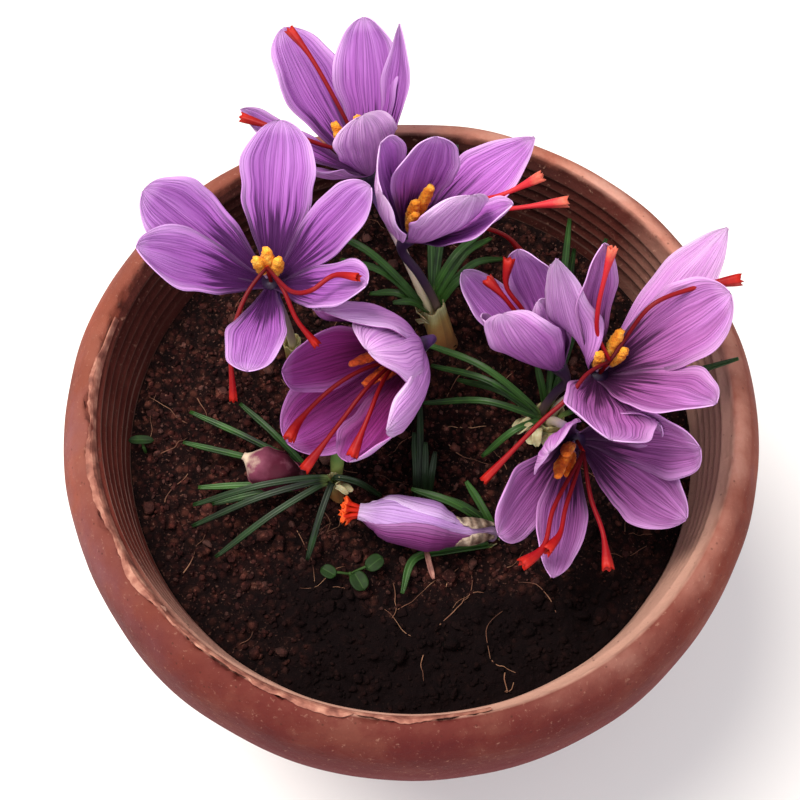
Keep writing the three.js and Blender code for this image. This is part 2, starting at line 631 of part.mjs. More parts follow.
const soilProfile = [[0, FLOOR + GAP], [innerR(FLOOR) - GAP, FLOOR + GAP], [innerR(SOIL_Z) - GAP, SOIL_Z]];
for (let i = 3; i >= 0; i--) soilProfile.push([(innerR(SOIL_Z) - GAP) * (i / 4), SOIL_Z]);
const bed = shape(lathe(soilProfile, POT_SIDES), (v) => {
  const r = Math.hypot(v.x, v.y);
  const free = v.z > SOIL_Z - 1 && r < innerR(SOIL_Z) - 2;
  return free ? new THREE.Vector3(v.x, v.y, v.z + crumb(v.x, v.y)) : v.clone();
});
let soil = solid(bed);
for (const plant of Object.values(PLANTS)) {
  const room = lathe(cormProfile(GAP), CORM_SIDES).translate(plant.corm[0], plant.corm[1], 0);
  soil = soil.subtract(solid(room)).subtract(sheathRod(plant, GAP));
}
for (const [key, weed] of Object.entries(SEEDLINGS)) {
  const [fx, fy] = weed.foot;
  const parts = [solid(rod([vec([fx, fy, SOIL_Z - 5]), vec([fx, fy, SOIL_Z + 1]), vec([fx, fy, 141])], () => 0.7, 5, 2))];
  for (const [x, y, z, long, wide] of weed.leaves) {
    const disc = new THREE.CylinderGeometry(1, 1, 0.9, 8).rotateX(Math.PI / 2).scale(long, wide, 1);
    parts.push(solid(disc.translate(x, y, z)));
    const stalk = [vec([fx, fy, 140.6]), vec([(fx + x) / 2, (fy + y) / 2, (141 + z) / 2]), vec([x, y, z])];
    parts.push(solid(rod(stalk, () => 0.6, 5, 2)));
  }
  place("seedling_" + key, join(parts), LEAF, 0.6);
  const hole = new THREE.CylinderGeometry(1.1, 1.1, 20, 6).rotateX(Math.PI / 2).translate(fx, fy, SOIL_Z + 4.7);
  soil = soil.subtract(solid(hole));
}
place("soil", soil, EARTH, 0.95);

export default root;
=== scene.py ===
# %% [markdown]
# # A pot of saffron crocuses
#
# The real object is a clay pot of dark, crumbly soil in which seven saffron crocuses are in
# bloom, with two buds, grassy leaves, papery sheaths, and the corms that they grow from, out of
# sight in the soil.
#
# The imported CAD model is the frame. It fixes where everything is. A flower could be dressed by
# painting its CAD solid, but petals made for a machine check are faceted and thick. So each
# plant part is modelled again here as a fine piece that follows the same rows of numbers and
# stands for its CAD node.

import math
import random
from functools import partial

import bmesh
import bpy
from mathutils import Matrix, Vector, noise


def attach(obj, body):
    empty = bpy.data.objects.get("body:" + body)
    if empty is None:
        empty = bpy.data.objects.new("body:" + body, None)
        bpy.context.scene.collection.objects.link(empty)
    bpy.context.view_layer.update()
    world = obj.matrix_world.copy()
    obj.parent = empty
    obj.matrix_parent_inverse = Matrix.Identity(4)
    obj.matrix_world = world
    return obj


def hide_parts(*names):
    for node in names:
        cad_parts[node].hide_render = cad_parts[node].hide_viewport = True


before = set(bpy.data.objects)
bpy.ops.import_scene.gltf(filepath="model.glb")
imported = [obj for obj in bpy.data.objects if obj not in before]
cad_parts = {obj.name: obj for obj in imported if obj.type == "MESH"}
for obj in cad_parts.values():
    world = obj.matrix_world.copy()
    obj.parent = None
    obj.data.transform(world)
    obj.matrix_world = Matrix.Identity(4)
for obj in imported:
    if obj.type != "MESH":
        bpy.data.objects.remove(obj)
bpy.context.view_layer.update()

# %% [markdown]
# ## The camera
#
# The pot was seen from above and a little in front, about 45 cm from the rim, so it looks round
# but the front rim is nearer and larger. A long lens from far away would lose that, so the
# camera stands at the real distance.

# %% Camera
MM = 0.001
AIM = Vector((-3.7, -0.9, 170)) * MM
STAND = Vector((-3.7, -191.92, 579.65)) * MM
LENS = 63
FILM_WIDTH = 36


def aimed(name, data, place, target):
    """Puts a camera or a lamp at one place, looking at another."""
    holder = bpy.data.objects.new(name, data)
    bpy.context.scene.collection.objects.link(holder)
    holder.location = place
    holder.rotation_euler = (Vector(target) - Vector(place)).to_track_quat("-Z", "Y").to_euler()
    return holder


eye = bpy.data.cameras.new("eye")
eye.lens = LENS
eye.sensor_width = FILM_WIDTH
camera = aimed("eye", eye, STAND, AIM)
bpy.context.scene.camera = camera
bpy.context.scene.view_settings.view_transform = "Standard"
print("camera", round((AIM - STAND).length, 3), "m from the rim's middle")

# %% [markdown]
# ## Colours and nodes
#
# Colours are written as the hex codes of a paint program and turned to linear light in one
# place. A material here is a small tree of nodes. Each kind of node could have a helper of its
# own, but one function that adds any of them is less to learn. It takes what feeds the node's
# inputs in their order, and each feed is another node's output, a number or a hex code.

# %% Colours and one function for every node
TIMES, PLUS, MINUS = ({"operation": way} for way in ("MULTIPLY", "ADD", "SUBTRACT"))
PAINT = {"data_type": "RGBA"}  # makes a Mix node mix colours
SPOT = {"out": "Object"}
NUMBERS = ("along", "across", "each")  # what each point of a plant part carries
ALONG, ACROSS, EACH = ({"attribute_name": name, "out": "Fac"} for name in NUMBERS)


def linear(code):
    parts = [int(code[i : i + 2], 16) / 255 for i in (1, 3, 5)]
    light = [p / 12.92 if p <= 0.04045 else ((p + 0.055) / 1.055) ** 2.4 for p in parts]
    return (*light, 1.0)


def add_node(tree, kind, *feeds, out=0, stops=(), **named):
    made = tree.nodes.new("ShaderNode" + kind)
    settings = [name for name in named if hasattr(made, name)]
    for name in settings:
        setattr(made, name, named[name])
    if stops:
        bar = made.color_ramp.elements
        while len(bar) < len(stops):
            bar.new(0.5)
        for element, (place, shade) in zip(bar, stops):
            element.position = place
            element.color = linear(shade) if isinstance(shade, str) else (shade, shade, shade, 1)
    pairs = list(zip([socket for socket in made.inputs if socket.enabled], feeds))
    pairs += [(made.inputs[name], named[name]) for name in named if name not in settings]
    for socket, feed in pairs:
        if isinstance(feed, bpy.types.NodeSocket):
            tree.links.new(feed, socket)
        else:
            socket.default_value = linear(feed) if isinstance(feed, str) else feed
    shown = [socket for socket in made.outputs if socket.enabled]
    return made.outputs[out] if isinstance(out, str) else shown[out]


print("white is", linear("#ffffff"), "mid grey is", round(linear("#808080")[0], 3))

# %% Steps that many finishes share
def new_finish(name, **shader):
    """A material with its shader set, and a function that adds a node to its tree."""
    made = bpy.data.materials.new(name)
    made.use_nodes = True
    skin = made.node_tree.nodes["Principled BSDF"]
    for key, value in shader.items():
        skin.inputs[key.replace("_", " ")].default_value = value
    return made, partial(add_node, made.node_tree)


def dress(finish, colour, height=None, bump_mm=0.5, strength=1.0):
    """Gives a finish its drawn colour, and its drawn height as bump."""
    tree = finish.node_tree
    skin = tree.nodes["Principled BSDF"]
    tree.links.new(colour, skin.inputs["Base Color"])
    if height is not None:
        bump = add_node(tree, "Bump", Strength=strength, Distance=bump_mm * MM, Height=height)
        tree.links.new(bump, skin.inputs["Normal"])
    return finish


def veil(add, under, over, pattern, *stops):
    """Lays a colour over another where a pattern says: the stops are its values and shares."""
    return add("Mix", add("ValToRGB", pattern, stops=stops), under, over, **PAINT)


def drifting(add, far, pattern, reach):
    """Shifts the way along a piece by a pattern, so that no tone ends at a straight line."""
    shift = add("Math", add("Math", pattern, 0.5, **MINUS), reach, **TIMES)
    return add("Math", far, shift, **PLUS)


def mottled(name, scale, detail, stops, bump=(), grit=0.5, **shader):
    """A finish whose colour and bump follow one noise, with its scale in patches to a metre."""
    made, add = new_finish(name, **shader)
    patch = add("TexNoise", add("TexCoord", **SPOT), scale, detail, grit)
    return dress(made, add("ValToRGB", patch, stops=stops), patch if bump else None, *bump)


print("view:", bpy.context.scene.view_settings.view_transform)

# %% [markdown]
# ## Petal skin
#
# A saffron petal is thin, silky and lilac, with fine darker veins that leave the purple throat
# side by side and fan out to a paler edge; its back is paler and pinker. A photograph of a petal
# could be wrapped on it, but a drawn pattern stays sharp: each point carries how far along and
# how far across its petal it is. The veins are noise that is stretched along the petal, with
# waves drawn side by side between them, and the throat's dark rays follow the same noise.

# %% Petal skins
VEINS_ACROSS = 8  # on each half, so a petal 20 mm wide shows a vein every 1.2 mm
WAVES = VEINS_ACROSS * 8.0
SILK = {
    "Roughness": 0.6, "Specular_IOR_Level": 0.2, "Subsurface_Weight": 0.06,
    "Subsurface_Scale": 0.0012, "Subsurface_Radius": (1.0, 0.5, 1.0),
}


def petal_skin(name, tones, seed, vein_strength, dark_reach=0.42):
    throat, deep, middle, pale, edge, vein = tones.split()
    made, add = new_finish("petal_silk_" + name, **SILK)
    far, side, one = (add("Attribute", **number) for number in (ALONG, ACROSS, EACH))
    own = add("Math", add("Math", one, 131.7, **TIMES), seed, **PLUS)
    fan, stretch = add("Math", side, VEINS_ACROSS, **TIMES), add("Math", far, 1.3, **TIMES)
    place = add("CombineXYZ", fan, stretch, own)
    broad = add("TexNoise", place, 0.55, 1.5, 0.5)
    fine = add("TexNoise", place, 1.25, 2.0, 0.6)
    hair = add("TexNoise", place, 3.2, 2.0, 0.6)
    body = ((0.0, throat), (0.09, throat), (0.28, deep), (0.6, middle), (1.0, pale))
    body = veil(add, add("ValToRGB", far, stops=body), deep, broad, (0.34, 0.5), (0.6, 0.0))
    sway = add("Math", broad, 24.0, **TIMES)
    phase = add("Math", add("Math", side, WAVES, **TIMES), sway, **PLUS)
    drawn = add("Math", phase, operation="SINE")
    drawn = add("ValToRGB", drawn, stops=((0.2, 0.0), (0.95, 0.85)))
    thin = add("ValToRGB", fine, stops=((0.4, 1.0), (0.56, 0.0)))
    thinner = add("ValToRGB", hair, stops=((0.42, 0.6), (0.58, 0.0)))
    thin, thinner = add("Math", thin, 0.6, **TIMES), add("Math", thinner, 0.35, **TIMES)
    veined = add("Math", drawn, fine, **TIMES)
    dense = add("Math", add("Math", thin, thinner, **PLUS), veined, **PLUS)
    fade = add("ValToRGB", far, stops=((0.0, 1.0), (0.5, 0.85), (0.88, 0.6), (1.0, 0.25)))
    lines = add("Math", dense, fade, use_clamp=True, **TIMES)
    veined = add("Mix", add("Math", lines, vein_strength, **TIMES), body, vein, **PAINT)
    reach = add("Math", add("Math", dark_reach, far, **MINUS), 1.1, **TIMES)
    dark = add("Math", add("Math", 1.0, fine, **MINUS), reach, **PLUS)
    dark = add("Math", add("ValToRGB", dark, stops=((0.5, 0.0), (0.66, 1.0))), 0.85, **TIMES)
    rayed = add("Mix", dark, veined, throat, **PAINT)
    rim = add("Math", side, operation="ABSOLUTE")
    rim = add("ValToRGB", rim, stops=((0.68, 0.0), (0.98, 1.0)))
    rim = add("Math", rim, add("ValToRGB", far, stops=((0.3, 0.1), (0.8, 1.0))), **TIMES)
    tip = add("ValToRGB", far, stops=((0.9, 0.0), (1.0, 0.8)))
    ends = add("Math", add("Math", rim, tip, operation="MAXIMUM"), 0.55, **TIMES)
    relief = add("Math", fine, add("Math", hair, 0.5, **TIMES), **PLUS)
    relief = add("Math", relief, add("Math", drawn, 0.35, **TIMES), **MINUS)
    return dress(made, add("Mix", ends, rayed, edge, **PAINT), relief, 0.55)


# Each row: throat, deep, middle, pale, edge and vein tones, then the noise's seed, the veins'
# strength, and how far out the throat's dark rays reach, which is below 0 for a petal's back.
# Some rows are lit and shaded copies of one skin: the faces of flowers 2 and 5 and the backs of
# flowers 1 and 4 are lighter copies, painted light for petals that lie in shade, and the faces of
# flowers 4 and 7 are darker copies, painted shade.
PETAL_TONES = {
    "lilac": ("#32063a #8c459a #a766b6 #bf85d0 #efc6fb #6d2f80", 0, 0.72),
    "light": ("#36083c #9e50aa #bd74ca #d092de #f6ceff #7a358a", 14, 0.72),
    "painted_shade_dusk": ("#2c0a30 #85427f #9e5b9e #b97abd #dcaae4 #5a2058", 21, 0.75),
    "rose": ("#330c32 #94508e #b069b0 #c88ad2 #e8baee #662a68", 27, 0.75),
    "rayed": ("#30053a #8c459a #a766b6 #bf85d0 #e8bcf4 #662a78", 33, 0.74, 0.47),
    "deep": ("#48082a #781a58 #952f82 #ab4fa8 #d494dc #560f40", 6, 0.66, 0.2),
    "back": ("#90489a #b868bc #cc84ce #dca6e0 #f0caf8 #8e4098", 3, 0.66, -0.4),
    "pale": ("#9a509a #c082c4 #d49cd8 #e4baea #f4d4fa #9c56a4", 9, 0.66, -0.4),
    "painted_lit": ("#a45cac #cc88d4 #dda0e4 #eab8f0 #f4d2fa #a05cb0", 17, 0.7, -0.4),
    "sunlit": ("#b468b8 #dc98e4 #ecb2f2 #f6c8fc #fcdcff #aa64b8", 19, 0.7, -0.4),
    "bud": ("#a084a4 #ad88bc #b68ac8 #c29ed4 #e2ccec #8c58a8", 12, 0.5),
    "bud_side": ("#5c2450 #642058 #742e6a #884886 #b480ba #4c164a", 15, 0.65),
}
silk = {name: petal_skin(name, *row) for name, row in PETAL_TONES.items()}
print("petal skins:", len(silk), "veins across:", VEINS_ACROSS)

# %% [markdown]
# ## Paths and skins
#
# Stems, threads, sheaths and roots are all round things along a bent line. A Blender curve with
# a bevel makes those too, but its radius is hard to shape, so a small circle is extruded from
# station to station here and each new ring is moved and sized by one matrix.

# %% Even steps along a smooth line
FINE_STEPS = 16


def between(a, b, c, d, share):
    """A point on the smooth curve through four knots, at a share of the way from b to c."""
    reach = [max((q - p).length, 1e-6) ** 0.5 for p, q in ((a, b), (b, c), (c, d))]
    t1, t2 = reach[0], reach[0] + reach[1]
    t3 = t2 + reach[2]
    t = t1 + (t2 - t1) * share
    ab = a + (b - a) * (t / t1)
    bc = b + (c - b) * ((t - t1) / (t2 - t1))
    cd = c + (d - c) * ((t - t2) / (t3 - t2))
    abc = ab + (bc - ab) * (t / t2)
    bcd = bc + (cd - bc) * ((t - t1) / (t3 - t1))
    return abc + (bcd - abc) * ((t - t1) / (t2 - t1))


def smooth_path(points, count):
    knots = [Vector(p) for p in points]
    ends = [2 * knots[0] - knots[1], *knots, 2 * knots[-1] - knots[-2]]
    fine = []
    for four in zip(ends, ends[1:], ends[2:], ends[3:]):
        fine += [between(*four, i / FINE_STEPS) for i in range(FINE_STEPS)]
    fine.append(knots[-1])
    walked = [0.0]
    for p, q in zip(fine, fine[1:]):
        walked.append(walked[-1] + (q - p).length)
    even, k = [], 0
    for i in range(count + 1):
        want = walked[-1] * i / count
        while k < len(walked) - 2 and walked[k + 1] < want:
            k += 1
        span = walked[k + 1] - walked[k]
        even.append(fine[k].lerp(fine[k + 1], (want - walked[k]) / span if span else 0))
    return even


def stations(path):
    """A matrix for each point of a path, with its Z axis along the path."""
    result = []
    sideways = abs((path[1] - path[0]).normalized().x) > 0.9
    side = Vector((0, 1, 0.01) if sideways else (1, 0, 0.01))
    for i, p in enumerate(path):
        ahead = (path[min(i + 1, len(path) - 1)] - path[max(i - 1, 0)]).normalized()
        side = (side - ahead * side.dot(ahead)).normalized()
        turn = Matrix((side, ahead.cross(side), ahead)).transposed().to_4x4()
        result.append(Matrix.Translation(p) @ turn)
    return result


corner = smooth_path([(0, 0, 0), (10, 0, 0), (10, 10, 0)], 8)
print("a corner of 20 mm, rounded and cut into", len(stations(corner)) - 1, "even steps")

# %% Round things and thin sheets
def layers(bm):
    found = bm.verts.layers.float
    return [found.get(name) or found.new(name) for name in NUMBERS]


def sweep(path, sides, size, flat=1.0, each=0.0, mouth=None):
    """A round thing along a path. A mouth is a hollow at its end: how deep, and how wide."""
    bm = bmesh.new()
    along, _, which = layers(bm)
    places = stations(path)
    last = len(places) - 1
    shapes = []
    for i, place in enumerate(places):
        r = size(i / last)
        shapes.append((i / last, place @ Matrix.Diagonal((r, r * flat, r, 1))))
    if mouth:
        depth, lip = mouth
        r = size(1.0)
        for down, share in ((0.0, lip), (0.55, lip * 0.8), (1.0, 0.15)):
            inner = places[-1] @ Matrix.Translation((0, 0, -depth * down))
            narrow = Matrix.Diagonal((r * share, r * share * flat, 1, 1))
            shapes.append((1.0 - 0.08 * down, inner @ narrow))
    ring = bmesh.ops.create_circle(bm, segments=sides, radius=1)["verts"]
    edges = list({e for v in ring for e in v.link_edges})
    bmesh.ops.transform(bm, matrix=shapes[0][1], verts=ring)
    start = list(edges)
    for v in ring:
        v[along], v[which] = 0.0, each
    for (_, before), (share, after) in zip(shapes, shapes[1:]):
        out = bmesh.ops.extrude_edge_only(bm, edges=edges)["geom"]
        ring = [g for g in out if isinstance(g, bmesh.types.BMVert)]
        edges = [g for g in out if isinstance(g, bmesh.types.BMEdge) and g.is_boundary]
        bmesh.ops.transform(bm, matrix=after @ before.inverted(), verts=ring)
        for v in ring:
            v[along], v[which] = share, each
    bmesh.ops.contextual_create(bm, geom=start)
    bmesh.ops.contextual_create(bm, geom=edges)
    bmesh.ops.recalc_face_normals(bm, faces=bm.faces)
    return bm


def sheet(columns, rows, thickness, place, back=0):
    """A flat grid that place(x, t) bends: it gives each point's spot and its three numbers.
    x runs from -1 to 1 across the sheet, and t from 0 to 1 along it."""
    bm = bmesh.new()
    numbers = layers(bm)
    bmesh.ops.create_grid(bm, x_segments=columns, y_segments=rows, size=0.5)
    for v in bm.verts:
        v.co, values = place(v.co.x * 2, v.co.y + 0.5)
        for layer, value in zip(numbers, values):
            v[layer] = value
    bm.normal_update()
    for made in bmesh.ops.solidify(bm, geom=bm.faces[:], thickness=thickness)["geom"]:
        if isinstance(made, bmesh.types.BMFace):
            made.material_index = back
    return bm


def coat(bm, index):
    for face in bm.faces:
        face.material_index = index
    return bm


rod = sweep(corner, 8, lambda s: 1.0)
print("a rod along the corner has", len(rod.faces), "faces")
rod.free()

# %% Turn parts into a piece
made_pieces = {}


def gather(parts):
    whole = bmesh.new()
    for bm in parts:
        carrier = bpy.data.meshes.new("carrier")
        bm.to_mesh(carrier)
        bm.free()
        whole.from_mesh(carrier)
        bpy.data.meshes.remove(carrier)
    return whole


def make_piece(name, parts, materials, stands_for, smooth=True):
    whole = gather(parts)
    mesh = bpy.data.meshes.new(name)
    bmesh.ops.transform(whole, matrix=Matrix.Scale(MM, 4), verts=whole.verts)
    whole.to_mesh(mesh)
    made_pieces[name] = sum(len(f.verts) - 2 for f in whole.faces)
    whole.free()
    for material in materials:
        mesh.materials.append(material)
    if smooth:
        mesh.shade_smooth()
    piece = bpy.data.objects.new(name, mesh)
    bpy.context.scene.collection.objects.link(piece)
    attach(piece, "root")
    if stands_for:
        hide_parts(*stands_for)
    print(name, "triangles", made_pieces[name])
    return piece


print("pieces so far:", len(made_pieces))

# %% [markdown]
# ## The pot
#
# It is a thrown or pressed clay pot: a tapered wall under a rolled band. Its section is drawn
# once as a line and spun round. A lathe modifier would do the same, but the spin leaves a mesh
# whose lip can then be worn: the inner edge is chipped and peeled at the front left, and low
# ridges run round inside the wall.

# %% Pot sizes
POT_HEIGHT = 170
RIM_INNER_R = 102.4
BASE_INNER_R = 71
FLOOR = 7
SOIL_Z = 138
RIDGE_STEP = 4.5
RIDGES = (146.5, 151, 155.5, 160, 164.5)
RIDGE_LINE = ((0, 0.9), (0.45, 0.35), (0.45, -0.3), (0, -0.8))
OUTER_LINE = [
    (0, 0), (40, 0), (74.5, 0), (76, 1.2), (92.5, 70), (108.6, 135.6), (110, 137),
    (114.6, 137.2), (116, 139), (115.8, 146), (115, 156), (113.9, 160.6), (111.6, 164.4),
    (109.6, 167.2), (107.2, 169.2), (105.4, 169.9), (104.2, 169.6), (103.5, 168.4), (102.9, 166.6),
]


def inner_radius(z):
    share = (POT_HEIGHT - z) / (POT_HEIGHT - FLOOR)
    return RIM_INNER_R + (BASE_INNER_R - RIM_INNER_R) * share


section = list(OUTER_LINE)
for z in RIDGES[::-1]:
    section += [(inner_radius(z) - deep, z + up) for deep, up in RIDGE_LINE]
section += [(inner_radius(z), z) for z in (143, 140, 137, 100, 50, FLOOR + 1.5)]
section += [(inner_radius(FLOOR) - 1.5, FLOOR), (40, FLOOR), (0, FLOOR)]
print("section points:", len(section))

# %% Spin the pot
POT_TURNS = 420


def spin(line, turns):
    bm = bmesh.new()
    verts = [bm.verts.new((r, 0, z)) for r, z in line]
    edges = [bm.edges.new(pair) for pair in zip(verts, verts[1:])]
    bmesh.ops.spin(
        bm, geom=verts + edges, axis=(0, 0, 1), cent=(0, 0, 0), dvec=(0, 0, 0), angle=math.tau,
        steps=turns, use_merge=True, use_duplicate=False,
    )
    bmesh.ops.remove_doubles(bm, verts=bm.verts, dist=0.01)
    bmesh.ops.recalc_face_normals(bm, faces=bm.faces)
    return bm


pot_body = spin(section, POT_TURNS)
print("pot faces:", len(pot_body.faces))

# %% Wear the lip
CHIPPED = (150, 285)  # the part of the rim, in degrees from +X, where the edge is chipped most
CHIP_R = 104.4
CHIP_REACH = 2.2
BAND_Z = 136
LIP_Z = 164


def wear(v):
    turn = math.degrees(math.atan2(v.co.y, v.co.x)) % 360
    r = math.hypot(v.co.x, v.co.y)
    spot = Vector((v.co.x * 0.09, v.co.y * 0.09, 3.0))
    rough = noise.noise(spot * 2.6) + 0.5 * noise.noise(spot * 7)
    slow = noise.noise(spot * 0.5)
    if v.co.z > BAND_Z:
        v.co.xy *= 1 + slow * 0.5 / r
        v.co.z += slow * 0.3 if v.co.z < 168 else min(0.0, slow * 0.5)
    near = max(0.0, 1 - abs(r - CHIP_R) / CHIP_REACH) if v.co.z > LIP_Z else 0.0
    off = abs(turn - sum(CHIPPED) / 2) / ((CHIPPED[1] - CHIPPED[0]) / 2)
    bite = near * (0.25 + max(0.0, 1 - off**4)) * rough
    v.co.z -= max(0.0, bite) * 2.6
    v.co.xy *= 1 + bite * 2.4 / r


for v in pot_body.verts:
    if v.co.z > 120:
        wear(v)
print("worn between", CHIPPED, "degrees")

# %% [markdown]
# ## Fired earthenware
#
# The clay is red-brown and dull, bleached to orange on the rolled lip where hands and weather
# wear it, and damp and dark inside. The crest's pale orange is also a painted highlight, its left
# side carries painted shade, the front of the band carries painted shade, and the band is darker
# and redder towards its foot. Inside, painted shade darkens the back of the wall and painted
# light brightens the front right. Dirt stains it in blotches a few centimetres wide, and grains
# and scuffs of a millimetre or two break the surface. It could be painted by height alone, but
# that leaves hard bands, so noise moves the edges of the band, the crest and the stains. Only the
# base and the step from the outer to the inner wall are set by size.

# %% Earthenware: where each part of the wall is
clay, add = new_finish("earthenware_weathered", Roughness=0.8, Specular_IOR_Level=0.18)
where = add("TexCoord", **SPOT)
x, y, z = add("SeparateXYZ", where, out=slice(3))
blotch = add("TexNoise", where, 38, 6, 0.62)
cool = add("TexNoise", where, 17, 4, 0.6)
grain = add("TexNoise", where, 620, 4, 0.7)
pits = add("TexVoronoi", where, 260)
up_mm = add("Math", z, 1000.0, **TIMES)
high = add("Math", up_mm, add("Math", blotch, 5.0, **TIMES), **PLUS)
high = add("Math", high, 200.0, operation="DIVIDE")  # 0.85 is the rim's top
out_r = add("VectorMath", add("CombineXYZ", x, y), operation="LENGTH")
SLOPE = (inner_radius(POT_HEIGHT) - inner_radius(FLOOR)) / (POT_HEIGHT - FLOOR)
depth = add("Math", out_r, add("Math", z, SLOPE, **TIMES), **MINUS)
depth = add("Math", add("Math", depth, 1000.0, **TIMES), inner_radius(0), **MINUS)
inner = add("Math", depth, 10.0, operation="DIVIDE")  # centimetres out from the inner wall
inner = add("ValToRGB", inner, stops=((0.12, 1.0), (0.21, 0.0)))
inner = add("Math", inner, add("ValToRGB", high, stops=((0.03, 0.0), (0.05, 1.0))), **TIMES)
print("the inner wall leans out by", round(SLOPE, 3))

# %% Earthenware: outside
# The crest's pale orange is bleached clay with a painted highlight on it, and its left side is
# darkened as painted shade.
crest_share = add("ValToRGB", high, stops=((0.84, 0.0), (0.862, 1.0)))
crest_share = add("Math", crest_share, 0.7, **TIMES)
leftward = add("Math", add("Math", x, -4.0, **TIMES), 0.5, **PLUS)
front = add("Math", add("Math", y, 6.0, **TIMES), add("Math", cool, 0.4, **TIMES), **PLUS)
front = add("Math", front, 0.8, **PLUS)
face = add("ValToRGB", blotch, stops=((0.3, "#6f3429"), (0.5, "#844436"), (0.7, "#9a5544")))
face = veil(add, face, "#7a5560", cool, (0.52, 0.0), (0.66, 0.6))
face = veil(add, face, "#a2492a", cool, (0.34, 0.5), (0.46, 0.0))
low = add("ValToRGB", blotch, stops=((0.3, "#5a171b"), (0.55, "#701f24"), (0.75, "#862f33")))
outside = veil(add, face, low, high, (0.74, 0.4), (0.82, 0.0))
crest = add("ValToRGB", blotch, stops=((0.3, "#aa6c5a"), (0.5, "#c48e7c"), (0.7, "#d2aa9c")))
crest = veil(add, crest, "#6e3828", leftward, (0.3, 0.0), (0.8, 0.92))
outside = add("Mix", crest_share, outside, crest, **PAINT)
# Painted shade on the front of the band, deepest at its foot.
front_shade = add("ValToRGB", blotch, stops=((0.36, "#4c1013"), (0.52, "#561a17"), (0.66, "#643026")))
front_shade = veil(add, front_shade, "#5c0c16", high, (0.72, 0.9), (0.8, 0.0))
outside = veil(add, outside, front_shade, front, (0.35, 0.94), (0.95, 0.0))
print("nodes so far:", len(clay.node_tree.nodes))

# %% Earthenware: inside
ridge_up = add("Math", up_mm, RIDGES[0] % RIDGE_STEP, **MINUS)
ridge = add("Math", ridge_up, RIDGE_STEP / 2, operation="PINGPONG")
ridge = add("ValToRGB", ridge, stops=((0.3, 0.85), (0.62, 0.0)))
ridge = add("Math", ridge, add("ValToRGB", cool, stops=((0.36, 0.25), (0.56, 1.0))), **TIMES)
dirt = add("ValToRGB", grain, stops=((0.56, 0.0), (0.64, 0.8)))
dirt = add("Math", dirt, add("ValToRGB", blotch, stops=((0.5, 0.0), (0.62, 1.0))), **TIMES)
backward = add("Math", add("Math", y, 4.0, **TIMES), x, **MINUS)
sunny = add("Math", add("Math", x, 3.6, **TIMES), add("Math", y, -5.0, **TIMES), **PLUS)
sunny = add("Math", sunny, 0.5, **PLUS)  # the front right, where the light falls in
damp_and_painted_light = add("ValToRGB", blotch, stops=((0.3, "#521f18"), (0.55, "#6e3127"), (0.8, "#8c5042")))
damp_and_painted_light = add("Mix", ridge, damp_and_painted_light, "#a07a6c", **PAINT)
damp_and_painted_light = add("Mix", dirt, damp_and_painted_light, "#22100b", **PAINT)
# Painted shade darkens the back of the inner wall, and painted light brightens its front right.
damp_and_painted_light = veil(add, damp_and_painted_light, "#2a0e0a", backward, (0.0, 0.0), (0.1, 0.42), (0.36, 0.9))
damp_and_painted_light = veil(add, damp_and_painted_light, "#c09684", sunny, (0.42, 0.0), (0.8, 0.8))
wall = add("Mix", inner, outside, damp_and_painted_light, **PAINT)
wall = veil(add, wall, "#b98d78", grain, (0.6, 0.0), (0.72, 0.35))
wall = veil(add, wall, "#34190f", pits, (0.05, 0.5), (0.13, 0.0))
grit = add("Math", grain, add("Math", pits, 0.6, **TIMES), **PLUS)
dress(clay, wall, grit, 0.5, 0.7)
pot = make_piece("pot_worn", [pot_body], [clay], ["pot"])

# %% [markdown]
# ## Drain holes
#
# Water leaves the pot through holes in its floor. They could be left out, because they hardly
# show, but the CAD pot has them. Round rods are cut out of the floor with a Boolean modifier,
# which is then applied so that nothing live is left on the pot.

# %% Drain holes
HOLES = 4
HOLE_R = 6
HOLE_RING_R = 46
holes = bpy.data.meshes.new("drain_cutters")
cutter_mesh = bmesh.new()
for i in range(HOLES):
    turn = (i + 0.5) / HOLES * math.tau
    spot = Vector((HOLE_RING_R * math.cos(turn), HOLE_RING_R * math.sin(turn), FLOOR / 2)) * MM
    bmesh.ops.create_cone(
        cutter_mesh, cap_ends=True, segments=32, radius1=HOLE_R * MM, radius2=HOLE_R * MM,
        depth=20 * MM, matrix=Matrix.Translation(spot),
    )
cutter_mesh.to_mesh(holes)
cutter_mesh.free()
cutter = bpy.data.objects.new("drain_cutters", holes)
bpy.context.scene.collection.objects.link(cutter)
bore = pot.modifiers.new("drain", "BOOLEAN")
bore.object = cutter
bore.operation = "DIFFERENCE"
bore.solver = "EXACT"
bpy.context.view_layer.update()
cut = bpy.data.meshes.new_from_object(pot.evaluated_get(bpy.context.evaluated_depsgraph_get()))
pot.modifiers.clear()
pot.data = cut
bpy.data.objects.remove(cutter)
print("pot with drain holes, faces:", len(pot.data.polygons))

# %% [markdown]
# ## The peeled lip
#
# At the front left the lip's thin inner edge has lifted and split, and shows paler clay. It is a
# loose shell on the pot, so it is made as one: a narrow sheet that follows the lip's section,
# with a ragged outer edge cut by noise.

# %% The peeled lip
PEELED = (163, 283)  # degrees from +X
PEEL_COLUMNS = 420
PEEL_R = 102.5
LIP_TOP = 169.9
JAGS = ((6, 2.4), (17, 0.9), (70, 0.35))  # how often, and how deep in mm
LIP_LINE = (
    (102.4, 166.4), (103.1, 168.5), (104.0, 169.6), (105.2, 169.9), (106.6, 169.5), (108.0, 168.6),
)
PEEL_TONES = ((0.35, "#6c3a2e"), (0.5, "#925a4a"), (0.66, "#b27e6a"))
peel = mottled("earthenware_fresh_edge", 240, 4, PEEL_TONES, (0.5, 0.8), Roughness=0.8)


